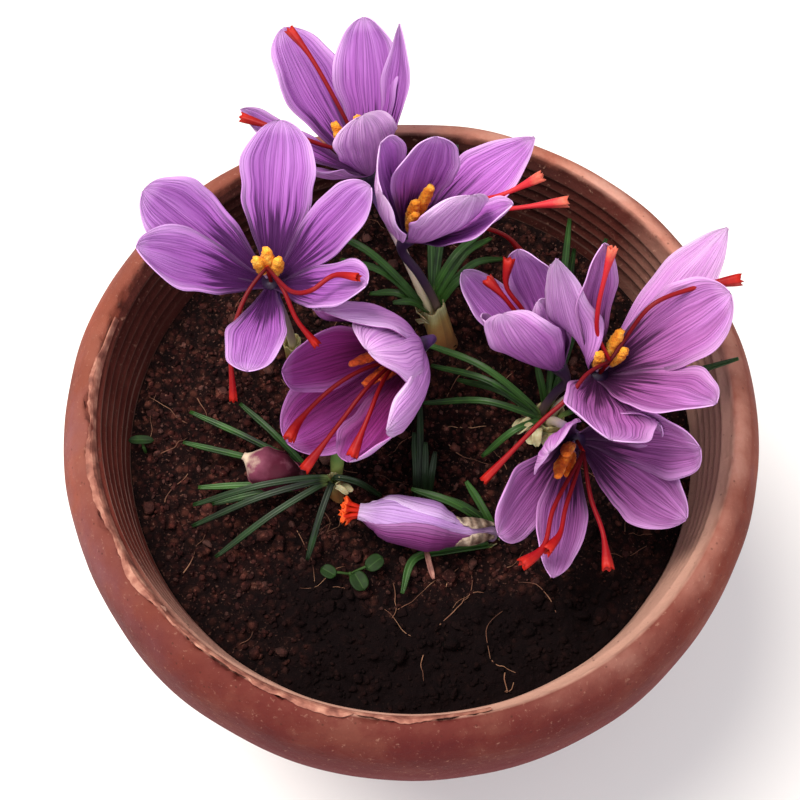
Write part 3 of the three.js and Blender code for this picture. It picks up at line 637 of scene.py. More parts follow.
def lip_at(r):
    for (r1, z1), (r2, z2) in zip(LIP_LINE, LIP_LINE[1:]):
        if r <= r2:
            return z1 + (z2 - z1) * (r - r1) / (r2 - r1)
    return LIP_LINE[-1][1]


def peeled(x, t):
    share = x / 2 + 0.5
    turn = math.radians(PEELED[0] + (PEELED[1] - PEELED[0]) * share)
    spot = Vector((math.cos(turn), math.sin(turn), 0.3))
    jag = sum(noise.noise(spot * often) * deep for often, deep in JAGS)
    ends = min(1.0, share * 12, (1 - share) * 12)
    outer = PEEL_R + 0.8 + max(0.25, 1.2 + jag) * ends
    r = PEEL_R + (outer - PEEL_R) * t
    lift = (0.25 + 0.5 * t * max(0.0, 0.5 + jag * 0.5)) * ends
    return (r * spot.x, r * spot.y, min(LIP_TOP, lip_at(r) + lift)), (0, 0, 0)


make_piece("rim_peel", [sheet(PEEL_COLUMNS, 5, 0.5, peeled)], [peel], [], smooth=False)

# %% [markdown]
# ## The soil
#
# It is a peaty mix that has dried into lumps: clods of a few millimetres. Painted shade darkens
# the gaps between them and the bed round the loose crumbs, reddish specks are painted highlights
# where the light catches them, and the soil is darker towards the front. The bed is spun like the
# pot and its top is pushed up and down by noise. Displacement at render time would be lost on
# export, so the mesh itself is moved, and loose crumbs are laid on it.

# %% Soil bed
GAP = 0.3
SOIL_TURNS = 260
SOIL_RINGS = 110
SOIL_R = inner_radius(SOIL_Z) - GAP
CLODS = ((0.15, 1.0, 2.0), (0.4, 5.0, 1.4), (1.1, 9.0, 0.5))  # how often, layer, height in mm


def ground(x, y):
    """How high the soil stands: long waves with clods on them, level at the pot's wall."""
    wave = math.sin(x * 0.21 + y * 0.13) + math.sin(y * 0.27 - x * 0.09 + 1.3)
    dip = math.sin(x * 0.52 - 0.4) * math.cos(y * 0.47 + 0.8)
    lump = sum(noise.noise(Vector((x * few, y * few, layer))) * tall for few, layer, tall in CLODS)
    free = min(1.0, max(0.0, (SOIL_R - math.hypot(x, y)) / 3))
    return SOIL_Z + (0.55 * wave + 0.6 * dip + lump) * free


bed_line = [(0, FLOOR + GAP), (inner_radius(FLOOR) - GAP, FLOOR + GAP), (SOIL_R, SOIL_Z - 2)]
bed_line += [(SOIL_R * (1 - i / SOIL_RINGS) ** 0.9, SOIL_Z) for i in range(SOIL_RINGS)]
bed = spin(bed_line + [(0, SOIL_Z)], SOIL_TURNS)
for v in bed.verts:
    if v.co.z > SOIL_Z - 1:
        v.co.z = ground(v.co.x, v.co.y)
print("soil bed faces:", len(bed.faces))

# %% Peat
CRUMB_TONES = ((0.1, "#160809"), (0.5, "#3a1c1c"), (0.85, "#643a36"), (1.0, "#8a625a"))
peat, add = new_finish("peat_crumb", Roughness=0.95, Specular_IOR_Level=0.1)
where = add("TexCoord", **SPOT)
own = add("Attribute", **EACH)  # 0 in the bed, and a number of its own in each loose crumb
lump = add("TexNoise", where, 75, 5, 0.65)
patch = add("TexNoise", where, 26, 3)
speck = add("TexNoise", where, 900, 3, 0.7)
gap, hue = add("TexVoronoi", where, 330, out=slice(2))
tone = add("SeparateColor", hue)
earth = ((0.3, "#1c0a0b"), (0.46, "#3a1715"), (0.6, "#5a2823"), (0.75, "#7e4337"))
grains = ((0.0, "#150808"), (0.6, "#4c241c"), (0.9, "#8e5444"))
earth, grains = add("ValToRGB", lump, stops=earth), add("ValToRGB", tone, stops=grains)
soil = add("Mix", 0.5, earth, grains, **PAINT)
# Painted shade in the gaps between the clods.
soil = veil(add, soil, "#0a0405", gap, (0.22, 0.0), (0.55, 0.85))
crumb = add("ValToRGB", own, stops=CRUMB_TONES)
soil = veil(add, soil, crumb, own, (0.05, 0.0), (0.1, 0.3))
# Painted shade on the bed round the loose crumbs.
soil = veil(add, soil, "#0a0405", own, (0.02, 0.62), (0.08, 0.0))
# Reddish specks are painted highlights where the light catches the crumbs.
soil = veil(add, soil, "#9a6c5c", speck, (0.6, 0.0), (0.7, 0.45))
# The soil is darker towards the front.
backward = add("Math", add("SeparateXYZ", where, out=1), 7.0, **TIMES)
dry = add("Math", add("Math", backward, add("Math", patch, 1.3, **TIMES), **PLUS), 0.1, **PLUS)
soil = veil(add, soil, "#0c0405", dry, (0.22, 0.95), (0.62, 0.0))
dress(peat, soil, add("Math", speck, gap, **MINUS), 1.2)
make_piece("soil_bed", [bed], [peat], ["soil"])

# %% Loose crumbs
SMALL_CRUMBS = 4200
LARGE_CRUMBS = 520
random.seed(11)


def on_soil(margin=2.0):
    turn = random.uniform(0, math.tau)
    r = (SOIL_R - margin) * math.sqrt(random.random())
    return r * math.cos(turn), r * math.sin(turn)


def crumb_at(x, y, size, detail):
    bm = bmesh.new()
    which = layers(bm)[2]
    bmesh.ops.create_icosphere(bm, subdivisions=detail, radius=1)
    shift, own = random.uniform(0, 90), random.uniform(0.1, 1.0)
    for v in bm.verts:
        v[which] = own
        v.co *= 1 + 0.7 * noise.noise(v.co * 2.3 + Vector((shift, 0, 0)))
    turn = Matrix.Rotation(random.uniform(0, math.tau), 4, "Z")
    turn @= Matrix.Rotation(random.uniform(0, 1.5), 4, "X")
    long, tall = size * random.uniform(0.8, 1.3), size * random.uniform(0.5, 0.9)
    spot = Matrix.Translation((x, y, ground(x, y) + tall * 0.25))
    sized = spot @ turn @ Matrix.Diagonal((long, size, tall, 1))
    bmesh.ops.transform(bm, matrix=sized, verts=bm.verts)
    return bm


crumbs = [crumb_at(*on_soil(), random.uniform(0.4, 1.15), 1) for _ in range(SMALL_CRUMBS)]
for _ in range(LARGE_CRUMBS):
    crumbs.append(crumb_at(*on_soil(4.0), random.choice((1.0, 1.2, 1.4, 1.7, 2.3)), 2))
make_piece("soil_crumbs", crumbs, [peat], [])

# %% [markdown]
# ## Rootlets
#
# Dry hair roots and a few straws lie in the soil. Each is a thread a third of a millimetre thick
# that wanders over the crumbs, so four sides are plenty.

# %% Rootlets
ROOTLETS = 70
ROOT_TONES = ((0.35, "#4a2c20"), (0.5, "#7c5340"), (0.7, "#b48a6a"))
straw = mottled("dry_root", 90, 3, ROOT_TONES, Roughness=0.8, IOR=1.4)
random.seed(23)


def rootlet(x, y, length, thick):
    turn = random.uniform(0, math.tau)
    line = []
    for k in range(7):
        hop = abs(noise.noise(Vector((x, y, k)) * 0.3))
        line.append(Vector((x, y, ground(x, y) + 0.35 + 0.9 * hop)))
        turn += random.uniform(-0.45, 0.45)
        x += math.cos(turn) * length / 6
        y += math.sin(turn) * length / 6
        if math.hypot(x, y) > SOIL_R - 2:
            x, y, turn = x * 0.97, y * 0.97, turn + 2.0
    return sweep(smooth_path(line, 12), 4, lambda s: thick * (1 - 0.5 * s))


roots = []
for _ in range(ROOTLETS):
    roots.append(rootlet(*on_soil(6.0), random.uniform(5, 19), random.uniform(0.1, 0.22)))
make_piece("rootlets", roots, [straw], [])

# %% [markdown]
# ## The flowers
#
# Every plant is a row of numbers: where it leaves the soil and where its corm lies, how high
# its sheath reaches, how thick it is, and how it leans. Every flower is written in rows too:
# where its throat is and which way it faces, and for each petal its turn about the axis, its
# opening, length, width, bow, cup, and how pointed it is. A petal starts as a flat grid. It is
# bent along its middle line, narrowed to a claw at the foot and a point or lip at the tip,
# cupped across, ruffled at the rim, and given its thickness. Cloth simulation could do the
# ruffles, but rows of numbers can be matched to the photograph one petal at a time.

# %% Plant and flower rows
PLANTS = {
    "back": {"at": (13, 35), "corm": (20, 43), "top": 158, "r": 4.6, "lean": (-6, 6)},
    "left": {"at": (-41, 31), "corm": (-43, 33), "top": 150, "r": 3.2, "lean": (0, 0)},
    "middle": {"at": (2, 25), "corm": (-3, 18), "top": 150, "r": 3.2, "lean": (0, -1)},
    "right": {"at": (47, 4), "corm": (48, 5), "top": 148, "r": 5.2, "lean": (0, 0)},
    "front": {"at": (26, -37), "corm": (30, -40), "top": 141, "r": 3.4, "lean": (0, 0)},
    "tuft": {"at": (-25, -22), "corm": (-22, -30), "top": 152, "r": 2.6, "lean": (-1, 1)},
    "young": {"at": (-37, -17), "corm": (-44, -13), "top": 141, "r": 3.2, "lean": (0, 0)},
    "bundle": {"at": (4.5, -23), "corm": (4, -20), "top": 140, "r": 3.4, "lean": (0, 0)},
}
# An anther's row: turn, height, distance from the axis. A branch's row: points from the throat.
# A petal may also twist, by so many degrees up to a share of its length, or have its own peak,
# the share of its length at which it is widest.
FLOWERS = {
    "1": {
        "plant": "back", "foot": (-1.9, 0.6), "throat": (-14.6, 72.5, 192),
        "axis": (-0.24, 0.44, 0.87),
        "petals": [
            (123, 35, 54, 24, 14, 0.5, 0.2), (72, 33, 49.5, 24, 14, 0.5, 0.2),
            (36, 30, 48, 14, 20, 0.35, 1), (177, 46, 45, 17, 12, 0.5, 0.3),
            (236, 54, 42, 18, 8, 0.4, 0), (290, 29, 33, 22, 20, 0.5, 0)],
        "anthers": [(170, 19, 6.3), (75, 18, 4.6), (288, 14, 4)],
        "branches": [
            [(-10.8, 16.4, 18.6), (-18.6, 28, 25), (-24.9, 36, 27.6)],
            [(-11, 0, 13), (-26, 1.4, 20), (-39.8, 6.4, 20.6)], [(-2, 5, 12), (-2, 7, 17)]]},
    "2": {
        "plant": "back", "foot": (1.9, -0.6), "throat": (-0.5, 45.2, 196),
        "axis": (0.34, 0.06, 0.94),
        "petals": [
            (161, 32, 38, 25, 18, 0.6, 0), (110, 17, 37, 24, 16, 0.5, 0),
            (38, 48, 49, 21, 8, 0.4, 1), (336, 27, 42, 20, 18, 0.5, 0.6),
            (292, 14, 42, 25, 22, 0.5, 0), (206, 33, 36, 20, 20, 0.6, 0)],
        "anthers": [(92, 19.6, 5.4), (150, 15, 4), (215, 14, 4)],
        "branches": [
            [(12, 4.4, 11), (28, 8.6, 9.6), (41.5, 11.9, 15.6)],
            [(12, 2, 10), (30, 5, 7.4), (49.7, 6, 10.4)],
            [(10, 0, 8), (25, 3, -1), (32, 4, -8), (37.5, 3, -17)]]},
    "3": {
        "plant": "left", "foot": (0, 0), "throat": (-43.6, 24.3, 203), "axis": (-0.05, 0, 1),
        "petals": [
            (157, 49, 47, 26, 6, 0.35, 0), (189, 46, 46, 23, 6, 0.4, 0.3),
            (82, 52, 48, 24, 4, 0.3, 0.1), (25, 50, 44.4, 20, 6, 0.4, 0.1),
            (331, 51, 44, 19, 6, 0.4, 0.2), (267, 60, 46, 18, 4, 0.3, 0)],
        "anthers": [(150, 11, 3.7), (85, 14, 3.2), (20, 11, 3.9)],
        "branches": [
            [(8.2, -13.4, 17), (14.2, -16, 22.4), (20.6, -12.2, 24.4), (28, -15.6, 29.2)],
            [(-6.4, -8.8, 7.2), (-11, -21, 0.6), (-11.6, -33.4, -15.6)],
            [(5, -9.6, 12), (9, -17.6, 7.6), (15, -23.2, 1.6)]]},
    "4": {
        "plant": "middle", "foot": (0, 0), "throat": (1.5, 13.9, 178),
        "axis": (-0.65, -0.63, 0.42),
        "petals": [
            (98, 33, 47, 34, 30, 0.8, 0.5), (172, 22, 46, 26, 22, 0.6, 0),
            (231, 34, 51, 29, 20, 0.6, 0), (290, 25, 46, 27, 22, 0.6, 0),
            (356, 27, 48, 22, 28, 0.7, 0.6), (56, 30, 46, 28, 24, 0.7, 0.3)],
        "anthers": [(171, 23, 7.6), (237, 21, 7), (260, 17, 4.5)],
        "branches": [
            [(-18, -11.6, 6.6), (-27.6, -18.4, 6.2), (-37, -28.6, 4.6), (-39.6, -34, 4.4)],
            [(-15, -17, 7), (-23.6, -28, 4.4), (-35, -41.6, -2)],
            [(-11, -18, 10), (-15, -29.6, 11), (-20, -40.6, 6.6)]]},
    "5": {
        "plant": "right", "foot": (-2.2, 1.8), "throat": (46.9, 9.1, 176),
        "axis": (-0.45, 0.3, 0.84),
        "petals": [
            (130, 38, 42, 16, 20, 0.6, 0.3), (70, 15, 42, 18, 18, 0.6, 0),
            (20, 18, 38, 16, 20, 0.6, 0.6), (322, 10, 33, 14, 16, 0.5, 0.2),
            (260, 17, 42.5, 23, 20, 0.5, 0), (198, 18, 35, 17, 16, 0.5, 0.2)],
        "anthers": [(30, 15, 4.2), (150, 15, 4.2), (270, 15, 4.2)],
        "branches": [
            [(-12.6, 9.6, 19.6), (-17.6, 14.8, 24.6), (-17, 21, 30.6)],
            [(-13, 7.6, 17.4), (-18.6, 12.4, 22.6), (-23.6, 17.6, 24)],
            [(-3, 3, 12), (-4, 4, 16)]]},
    "6": {
        "plant": "right", "foot": (1.8, 1.8), "throat": (58.9, 1, 186), "axis": (0.24, 0, 0.97),
        "petals": [
            (152, 36, 50, 18, 10, 0.5, 0.9, {"twist": (95, 0.45), "peak": 0.38}),
            (128, 26, 50, 17, 14, 0.5, 0.6),
            (50, 50, 58, 20, 8, 0.4, 0.9, {"twist": (155, 0.2), "peak": 0.6}),
            (24, 38, 47, 26, 6, 0.4, 0.1), (307, 38, 48, 27, 4, 0.4, 0.6),
            (254, 50, 46, 30, 6, 0.5, 0)],
        "anthers": [(83, 17, 6.5), (180, 13, 5), (36, 12, 5)],
        "branches": [
            [(-2.6, 4.6, 17), (-3.6, 8, 27), (-2.6, 13, 38), (-1.2, 17.6, 46)],
            [(6, 5, 12), (13.6, 12, 22), (26, 17.2, 23), (40.6, 19.6, 24.6)],
            [(-6.2, -7.2, 13.7), (-12.2, -15, 13.8), (-20.4, -21.4, 10), (-37.4, -36, -1)]]},
    "7": {
        "plant": "right", "foot": (0.4, -2.6), "throat": (52.4, -16.2, 172),
        "axis": (0.12, -0.73, 0.68),
        "petals": [
            (205, 44, 46.5, 20, 8, 0.4, 0), (243, 40, 47, 18, 8, 0.4, 0.6),
            (333, 42, 42.5, 23, 8, 0.4, 0.4), (24, 37, 46.5, 26, 8, 0.4, 0),
            (143, 28, 42, 21, 18, 0.5, 0), (43, 38, 36, 16, 12, 0.5, 0)],
        "anthers": [(202, 17, 10.5), (165, 14, 7), (225, 13, 8)],
        "branches": [
            [(-9.8, -26.8, 10), (-13.6, -39.6, 11.4), (-20, -45, 12)],
            [(-5.8, -25.7, 8.2), (-8.2, -34.7, 9.6), (-12.8, -40.6, 11.6)],
            [(2.5, -21.3, 5.4), (5.3, -33, 6.6), (6, -44.6, 7)]]},
}
print("plants:", len(PLANTS), "flowers:", len(FLOWERS))

# %% The lines of a petal
SECTION_STEPS = 24


def soft_step(x, low, high):
    t = min(1.0, max(0.0, (x - low) / (high - low)))
    return t * t * (3 - 2 * t)


def facing(axis):
    a = Vector(axis).normalized()
    e1 = Vector((1, 0, 0))
    e1 = (e1 - a * e1.dot(a)).normalized()
    return a, e1, a.cross(e1)


def around(directions, turn):
    _, e1, e2 = directions
    return e1 * math.cos(math.radians(turn)) + e2 * math.sin(math.radians(turn))


def petal_share(s, point, peak):
    """A petal's width at a share of its length, where 1 is its widest."""
    if s < peak:
        return 0.2 + 0.8 * math.sin(math.pi / 2 * s / peak) ** 1.4
    over = min(1.0, (s - peak) / (1 - peak))
    return max(0.05, (1 - over ** (2 - 0.4 * point)) ** (0.5 + 0.35 * point))


def walk(line, angle, step):
    x, y = line[-1]
    line.append((x + math.cos(angle) * step, y + math.sin(angle) * step))


def middle_line(opening, length, bow, rows):
    """Height, distance from the axis and slope of each row, along a bowed line."""
    angles = [math.radians(bow * (1 - 2 * s)) for s in rows]
    line = [(0.0, 0.0)]
    for i in range(1, len(rows)):
        walk(line, (angles[i - 1] + angles[i]) / 2, rows[i] - rows[i - 1])
    ex, ey = line[-1]
    turn = math.radians(opening) - math.atan2(ey, ex)
    cos, sin, scale = math.cos(turn), math.sin(turn), length / math.hypot(ex, ey)
    return [
        ((x * cos - y * sin) * scale, (x * sin + y * cos) * scale, angle + turn)
        for (x, y), angle in zip(line, angles)
    ]


def half_section(half, bend):
    """Points of a petal's cupped section, from its middle to one edge."""
    line = [(0.0, 0.0)]
    for i in range(SECTION_STEPS):
        walk(line, (i + 0.5) / SECTION_STEPS * bend, half / SECTION_STEPS)
    return line


print("a half section 10 mm wide rises", round(half_section(10, 0.5)[-1][1], 2), "mm at its edge")

# %% Petal form
PETAL_COLUMNS = 24
PETAL_ROWS = 40
PETAL_THICKNESS = 0.36
THROAT_OUT, THROAT_DOWN = 1.9, 0.9
RUFFLE = 0.8
GROOVE = 0.5
TORN = 0.11  # how far a petal's outline strays, as a share of its width


def petal(flower, directions, row, each):
    turn, opening, length, width, bow, cup, point, *more = row
    extra = more[0] if more else {}
    peak = extra.get("peak", 0.66 - 0.1 * point)
    degrees, settled = extra.get("twist", (0, 1))
    axis, out = directions[0], around(directions, turn)
    rows = [1 - (1 - k / PETAL_ROWS) ** 1.25 for k in range(PETAL_ROWS + 1)]
    line = middle_line(opening, length, bow, rows)
    origin = Vector(flower["throat"]) + out * THROAT_OUT - axis * THROAT_DOWN
    sections = {}
    for k, s in enumerate(rows):
        for hand in (-1, 1):
            stray = noise.noise(Vector((s * 6, hand * 3.1, each * 57))) * min(1, s * 2)
            half = width / 2 * petal_share(s, point, peak) * (1 + TORN * stray)
            sections[k, hand] = half_section(half, cup * (1.2 - 0.6 * s) * 1.3)

    def place(x, t):
        k = round(t * PETAL_ROWS)
        s, (up, far, slope) = rows[k], line[k]
        ahead = axis * math.cos(slope) + out * math.sin(slope)
        inward = axis * math.sin(slope) - out * math.cos(slope)
        side = ahead.cross(inward)
        twist = math.radians(degrees) * soft_step(s, 0.0, settled)
        cos, sin = math.cos(twist), math.sin(twist)
        inward, side = inward * cos + side * sin, side * cos - inward * sin
        wide, raised = sections[k, 1 if x >= 0 else -1][round(abs(x) * SECTION_STEPS)]
        wave = math.sin(s * 13 + each * 51 + (2.4 if x > 0 else 0)) * abs(x) ** 2.5
        wave *= RUFFLE * min(1, s * 1.8)
        wave += noise.noise(Vector((x * 1.3, s * 3.2, each * 77))) * 1.5 * s
        wave += noise.noise(Vector((x * 6, s * 2.5, each * 91))) * 0.45 * min(1, s * 2)
        wave *= min(1.0, petal_share(s, point, peak) * 1.3) ** 1.5
        dent = GROOVE * math.exp(-((x / 0.16) ** 2)) * min(1, s * 3) * (1 - s)
        across = side * (wide if x >= 0 else -wide) + inward * (raised + wave - dent)
        return origin + axis * up + out * far + across, (s, x, each)

    return sheet(PETAL_COLUMNS, PETAL_ROWS, PETAL_THICKNESS, place, back=1)


first = FLOWERS["1"]
trial = petal(first, facing(first["axis"]), first["petals"][0], 0.1)
print("one petal:", len(trial.faces), "faces")
trial.free()

# %% [markdown]
# ## Tubes
#
# A crocus has no stem above the soil: what carries the flower is the long tube of the petals
# themselves. It rises from the sheath, pale at the foot and purple near the throat, where it
# flares into the petals. Its tones follow the number along it, shifted a little by noise.

# %% Tube
TUBE_R = 1.5
THROAT_R = 2.9
TUBE_TONES = (
    (0.14, "#cdbf9a"), (0.54, "#b9a5a6"), (0.76, "#6b4585"), (0.91, "#3d1a52"), (0.94, "#22082e"),
)


def lengthwise(name, scale, detail, reach, stops, bump=(), **shader):
    """A finish whose tones change along the piece."""
    made, add = new_finish(name, **shader)
    blush = add("TexNoise", add("TexCoord", **SPOT), scale, detail)
    rise = drifting(add, add("Attribute", **ALONG), blush, reach)
    return dress(made, add("ValToRGB", rise, stops=stops), blush if bump else None, *bump)


tube_skin = lengthwise(
    "petal_tube", 300, 3, 0.12, TUBE_TONES,
    Roughness=0.5, Subsurface_Weight=0.1, Subsurface_Scale=0.001,
)
# A darker copy of the tube skin: painted shade for the tubes of flowers 2 and 5, which stand in
# shade.
tube_shaded, add = new_finish("petal_tube_shaded", Roughness=0.5)
dark_tones = ((0.1, "#6d5a4a"), (0.5, "#3a2440"), (1.0, "#2c1038"))
dress(tube_shaded, add("ValToRGB", add("Attribute", **ALONG), stops=dark_tones))


def tube_points(flower):
    plant = PLANTS[flower["plant"]]
    (x, y), (dx, dy), (fx, fy) = plant["at"], plant["lean"], flower["foot"]
    axis = facing(flower["axis"])[0]
    deep = plant["top"] - 9
    share = (deep - SOIL_Z) / (plant["top"] - SOIL_Z)
    low = Vector((x + fx + dx * share, y + fy + dy * share, deep))
    top = Vector((x + fx + dx, y + fy + dy, plant["top"]))
    throat = Vector(flower["throat"])
    reach = (throat - top).length
    before = throat - axis * min(8, reach * 0.3)
    return [low, top, (top + before) / 2 + Vector((0, 0, reach * 0.05)), before, throat]


def tube(flower):
    flare = lambda s: TUBE_R + (THROAT_R - TUBE_R) * soft_step(s, 0.8, 1)
    return sweep(smooth_path(tube_points(flower), 30), 16, flare)


print("tube of flower 1 starts at", [round(c, 1) for c in tube_points(first)[0]])

# %% Put the flowers together
# Faces and backs here include the lighter painted-light copies and the darker painted-shade copies
# of the petal skin.
FACE_AND_BACK = {
    "1": ("lilac", "sunlit"), "2": ("light", "pale"), "3": ("rayed", "back"),
    "4": ("deep", "painted_lit"), "5": ("light", "back"), "6": ("rose", "pale"), "7": ("painted_shade_dusk", "back"),
}
# These flowers' tubes get the darker tube skin, painted shade.
SHADED_TUBES = ("2", "5")
for name, flower in FLOWERS.items():
    directions = facing(flower["axis"])
    seeds = [(int(name) * 7 + k) * 0.013 for k in range(len(flower["petals"]))]
    parts = [petal(flower, directions, row, seed) for row, seed in zip(flower["petals"], seeds)]
    parts.append(coat(tube(flower), 2))
    face, back = (silk[tone] for tone in FACE_AND_BACK[name])
    carrier = tube_shaded if name in SHADED_TUBES else tube_skin
    make_piece("bloom_" + name, parts, [face, back, carrier], ["flower_" + name])

# %% [markdown]
# ## Anthers
#
# Three anthers stand round the style on short threads. Each is a fat, two-lobed bar crusted with
# orange pollen. A swept bar is flattened, and noise moves its points to make the crust.

# %% Pollen and anthers
POLLEN_TONES = {
    "orange": ("#d97a10", "#f79c1c", "#ffc04a"),
    "red_orange": ("#a8360c", "#cc4a10", "#e86a1c"),
    "deep_orange": ("#d4600c", "#f27c12", "#ffa234"),
}
STALK_SHARE = 0.22
pollen = {}
for name, tones in POLLEN_TONES.items():
    pollen[name], add = new_finish(
        "pollen_" + name, Roughness=0.85, Sheen_Weight=0.05, Subsurface_Weight=0.1,
        Subsurface_Scale=0.001,
    )
    where, far = add("TexCoord", **SPOT), add("Attribute", **ALONG)
    lumps = add("TexNoise", where, 420, 3)
    dusted = add("ValToRGB", lumps, stops=tuple(zip((0.35, 0.5, 0.68), tones)))
    dusted = veil(add, dusted, "#c9a4c8", far, (STALK_SHARE, 1.0), (0.3, 0.0))
    dress(pollen[name], dusted, add("TexVoronoi", where, 1700), 0.3, 0.8)


def swell(s):
    if s < STALK_SHARE:
        return 0.45
    return 0.5 + 1.5 * max(0.0, math.sin(math.pi * (s - 0.16) / 0.9)) ** 0.6


def anther(flower, directions, row, each):
    turn, high, far = row
    axis, out = directions[0], around(directions, turn)
    throat = Vector(flower["throat"])
    steps = ((1.3, 0.9), (0.9 + far * 0.34, high * 0.34), (far * 0.8, high * 0.65), (far, high))
    path = smooth_path([throat + out * side + axis * up for side, up in steps], 26)
    bm = sweep(path, 14, swell, flat=0.8, each=each)
    along = layers(bm)[0]
    for v in bm.verts:
        if v[along] > 0.24:
            push = noise.noise(v.co * 1.1 + Vector((each * 40, 0, 0))) * 0.45
            v.co += v.normal * (push + noise.noise(v.co * 2.6) * 0.25)
    return bm


for name, flower in FLOWERS.items():
    directions = facing(flower["axis"])
    parts = [anther(flower, directions, row, 0.1 * k) for k, row in enumerate(flower["anthers"])]
    dust = pollen[{"4": "red_orange", "7": "deep_orange"}.get(name, "orange")]
    make_piece("anthers_" + name, parts, [dust], ["stamens_" + name])

# %% [markdown]
# ## Saffron threads
#
# The style forks into three crimson threads, the saffron itself. Each widens to a small trumpet
# whose mouth is frilled and orange at the rim. The frill is made by pushing the last rings in
# and out round the thread. A few threads stand in brighter light in the photograph and look
# coral, and those in the big bud's mouth are a fiery orange.

# %% Saffron threads
THREAD_TONES = {
    "crimson": ("#4a0610", "#70060e", "#8c070d", "#a61a10"),
    "lit_coral": ("#860c18", "#aa1620", "#c42c34", "#d06450"),
    "fire": ("#7a0a0c", "#a8140a", "#cc2a0c", "#e85a24"),
}
saffron = {}
for name, tones in THREAD_TONES.items():
    saffron[name] = lengthwise(
        "saffron_" + name, 500, 3, 0.12, tuple(zip((0.0, 0.4, 0.9, 0.97), tones)), (0.2, 0.6),
        Roughness=0.5, Specular_IOR_Level=0.2, Subsurface_Weight=0.05, Subsurface_Scale=0.001,
    )
STYLE_R = 0.6
BRANCH_R = 0.72
TRUMPET_R = 1.75
STYLE_TOP = 8
STEP_MM = 1.6
# The coral threads are painted light: their paler coral skin stands in for the brighter light on
# them.
LIT_CORAL_THREADS = (("2", 0), ("2", 1), ("6", 0))
SLIM_TRUMPETS = {
    ("1", 0): 1.45, ("1", 1): 1.5, ("2", 2): 1.2, ("3", 0): 1.2, ("3", 1): 1.2, ("3", 2): 1.2,
    ("6", 0): 1.3, ("6", 2): 1.25,
}


def thread(points, each, trumpet):
    def size(s):
        slim = STYLE_R + (BRANCH_R - STYLE_R) * soft_step(s, 0, 0.5)
        return slim + (trumpet - BRANCH_R) * soft_step(s, 0.7, 1) ** 1.3

    reach = sum((q - p).length for p, q in zip(points, points[1:]))
    path = smooth_path(points, max(14, round(reach / STEP_MM)))
    bm = sweep(path, 18, size, each=each, mouth=(2.2, 0.86))
    along = layers(bm)[0]
    end, ahead = path[-1], (path[-1] - path[-2]).normalized()
    side = ahead.orthogonal().normalized()
    other = ahead.cross(side)
    for v in bm.verts:
        near = soft_step(v[along], 0.78, 1.0)
        if near > 0:
            off = v.co - end
            turn = math.atan2(off.dot(other), off.dot(side))
            wave = math.sin(turn * 5 + each * 9) + 0.6 * math.sin(turn * 9 + each * 4)
            across = off - ahead * off.dot(ahead)
            v.co += (across * 0.16 + ahead * 0.35) * wave * near
    return bm


for name, flower in FLOWERS.items():
    axis = facing(flower["axis"])[0]
    throat = Vector(flower["throat"])
    fork = throat + axis * STYLE_TOP
    style = [throat - axis * 3, throat, throat + axis * 4, fork + axis * 0.4]
    parts = [sweep(style, 10, lambda s: STYLE_R)]
    for k, branch in enumerate(flower["branches"]):
        points = [fork - axis, fork] + [throat + Vector(p) for p in branch]
        made = thread(points, 0.3 + k, SLIM_TRUMPETS.get((name, k), TRUMPET_R))
        parts.append(coat(made, 1 if (name, k) in LIT_CORAL_THREADS else 0))
    skins = [saffron["crimson"], saffron["lit_coral"]]
    make_piece("threads_" + name, parts, skins, ["stigmas_" + name])

# %% [markdown]
# ## Sheaths
#
# Papery sheaths wrap the foot of each plant: tan and dry at the soil, thin and greenish higher
# up, torn at the mouth. Each is a swept tube with an inner wall, and its rim is cut ragged by
# moving its points.

# %% Sheath paper
SHEATH_TONES = ((0.55, "#6e4426"), (0.78, "#9a6a38"), (0.9, "#9c8a50"), (1.0, "#aaa878"))
paper, add = new_finish(
    "sheath_paper", Roughness=0.6, Subsurface_Weight=0.15, Subsurface_Scale=0.002
)
far, side = add("Attribute", **ALONG), add("Attribute", **ACROSS)
strand = add("CombineXYZ", add("Math", side, 26.0, **TIMES), add("Math", far, 2.0, **TIMES))
fibre = add("TexNoise", strand, 1.0, 3)
stain = add("TexNoise", add("TexCoord", **SPOT), 160, 4)
tone = add("ValToRGB", drifting(add, far, stain, 0.3), stops=SHEATH_TONES)
dress(paper, veil(add, tone, "#6a4a2c", fibre, (0.4, 0.5), (0.58, 0.0)), fibre, 0.4, 0.7)
print("sheath tones:", len(SHEATH_TONES))

# %% Sheaths
CORM_TOP = 107


def sheath(plant, key):
    (x, y), (cx, cy), (dx, dy) = plant["at"], plant["corm"], plant["lean"]
    points = [
        (cx, cy, CORM_TOP + 0.6), (cx, cy, CORM_TOP + 7),
        ((cx + x) / 2, (cy + y) / 2, SOIL_Z - 14), (x + dx * 0.2, y + dy * 0.2, SOIL_Z + 1),
        (x + dx, y + dy, plant["top"]),
    ]
    size = lambda s: plant["r"] * (0.82 + 0.18 * s)
    bm = sweep(smooth_path(points, 34), 28, size, mouth=(6.0, 0.9))
    along, across, _ = layers(bm)
    centre = Vector((x + dx, y + dy))
    for v in bm.verts:
        off = v.co.xy - centre
        turn = math.atan2(off.y, off.x)
        v[across] = abs(turn) / math.pi
        tear = noise.noise(Vector((math.cos(turn) * 1.7, math.sin(turn) * 1.7, len(key)))) * 3.4
        v.co.z += soft_step(v[along], 0.86, 1.0) * tear
        if v.co.z > SOIL_Z:
            v.co.xy = centre + off * (1 + 0.05 * math.sin(turn * 6 + len(key)))
    return bm


for key, plant in PLANTS.items():
    make_piece("wrap_" + key, [sheath(plant, key)], [paper], ["sheath_" + key])

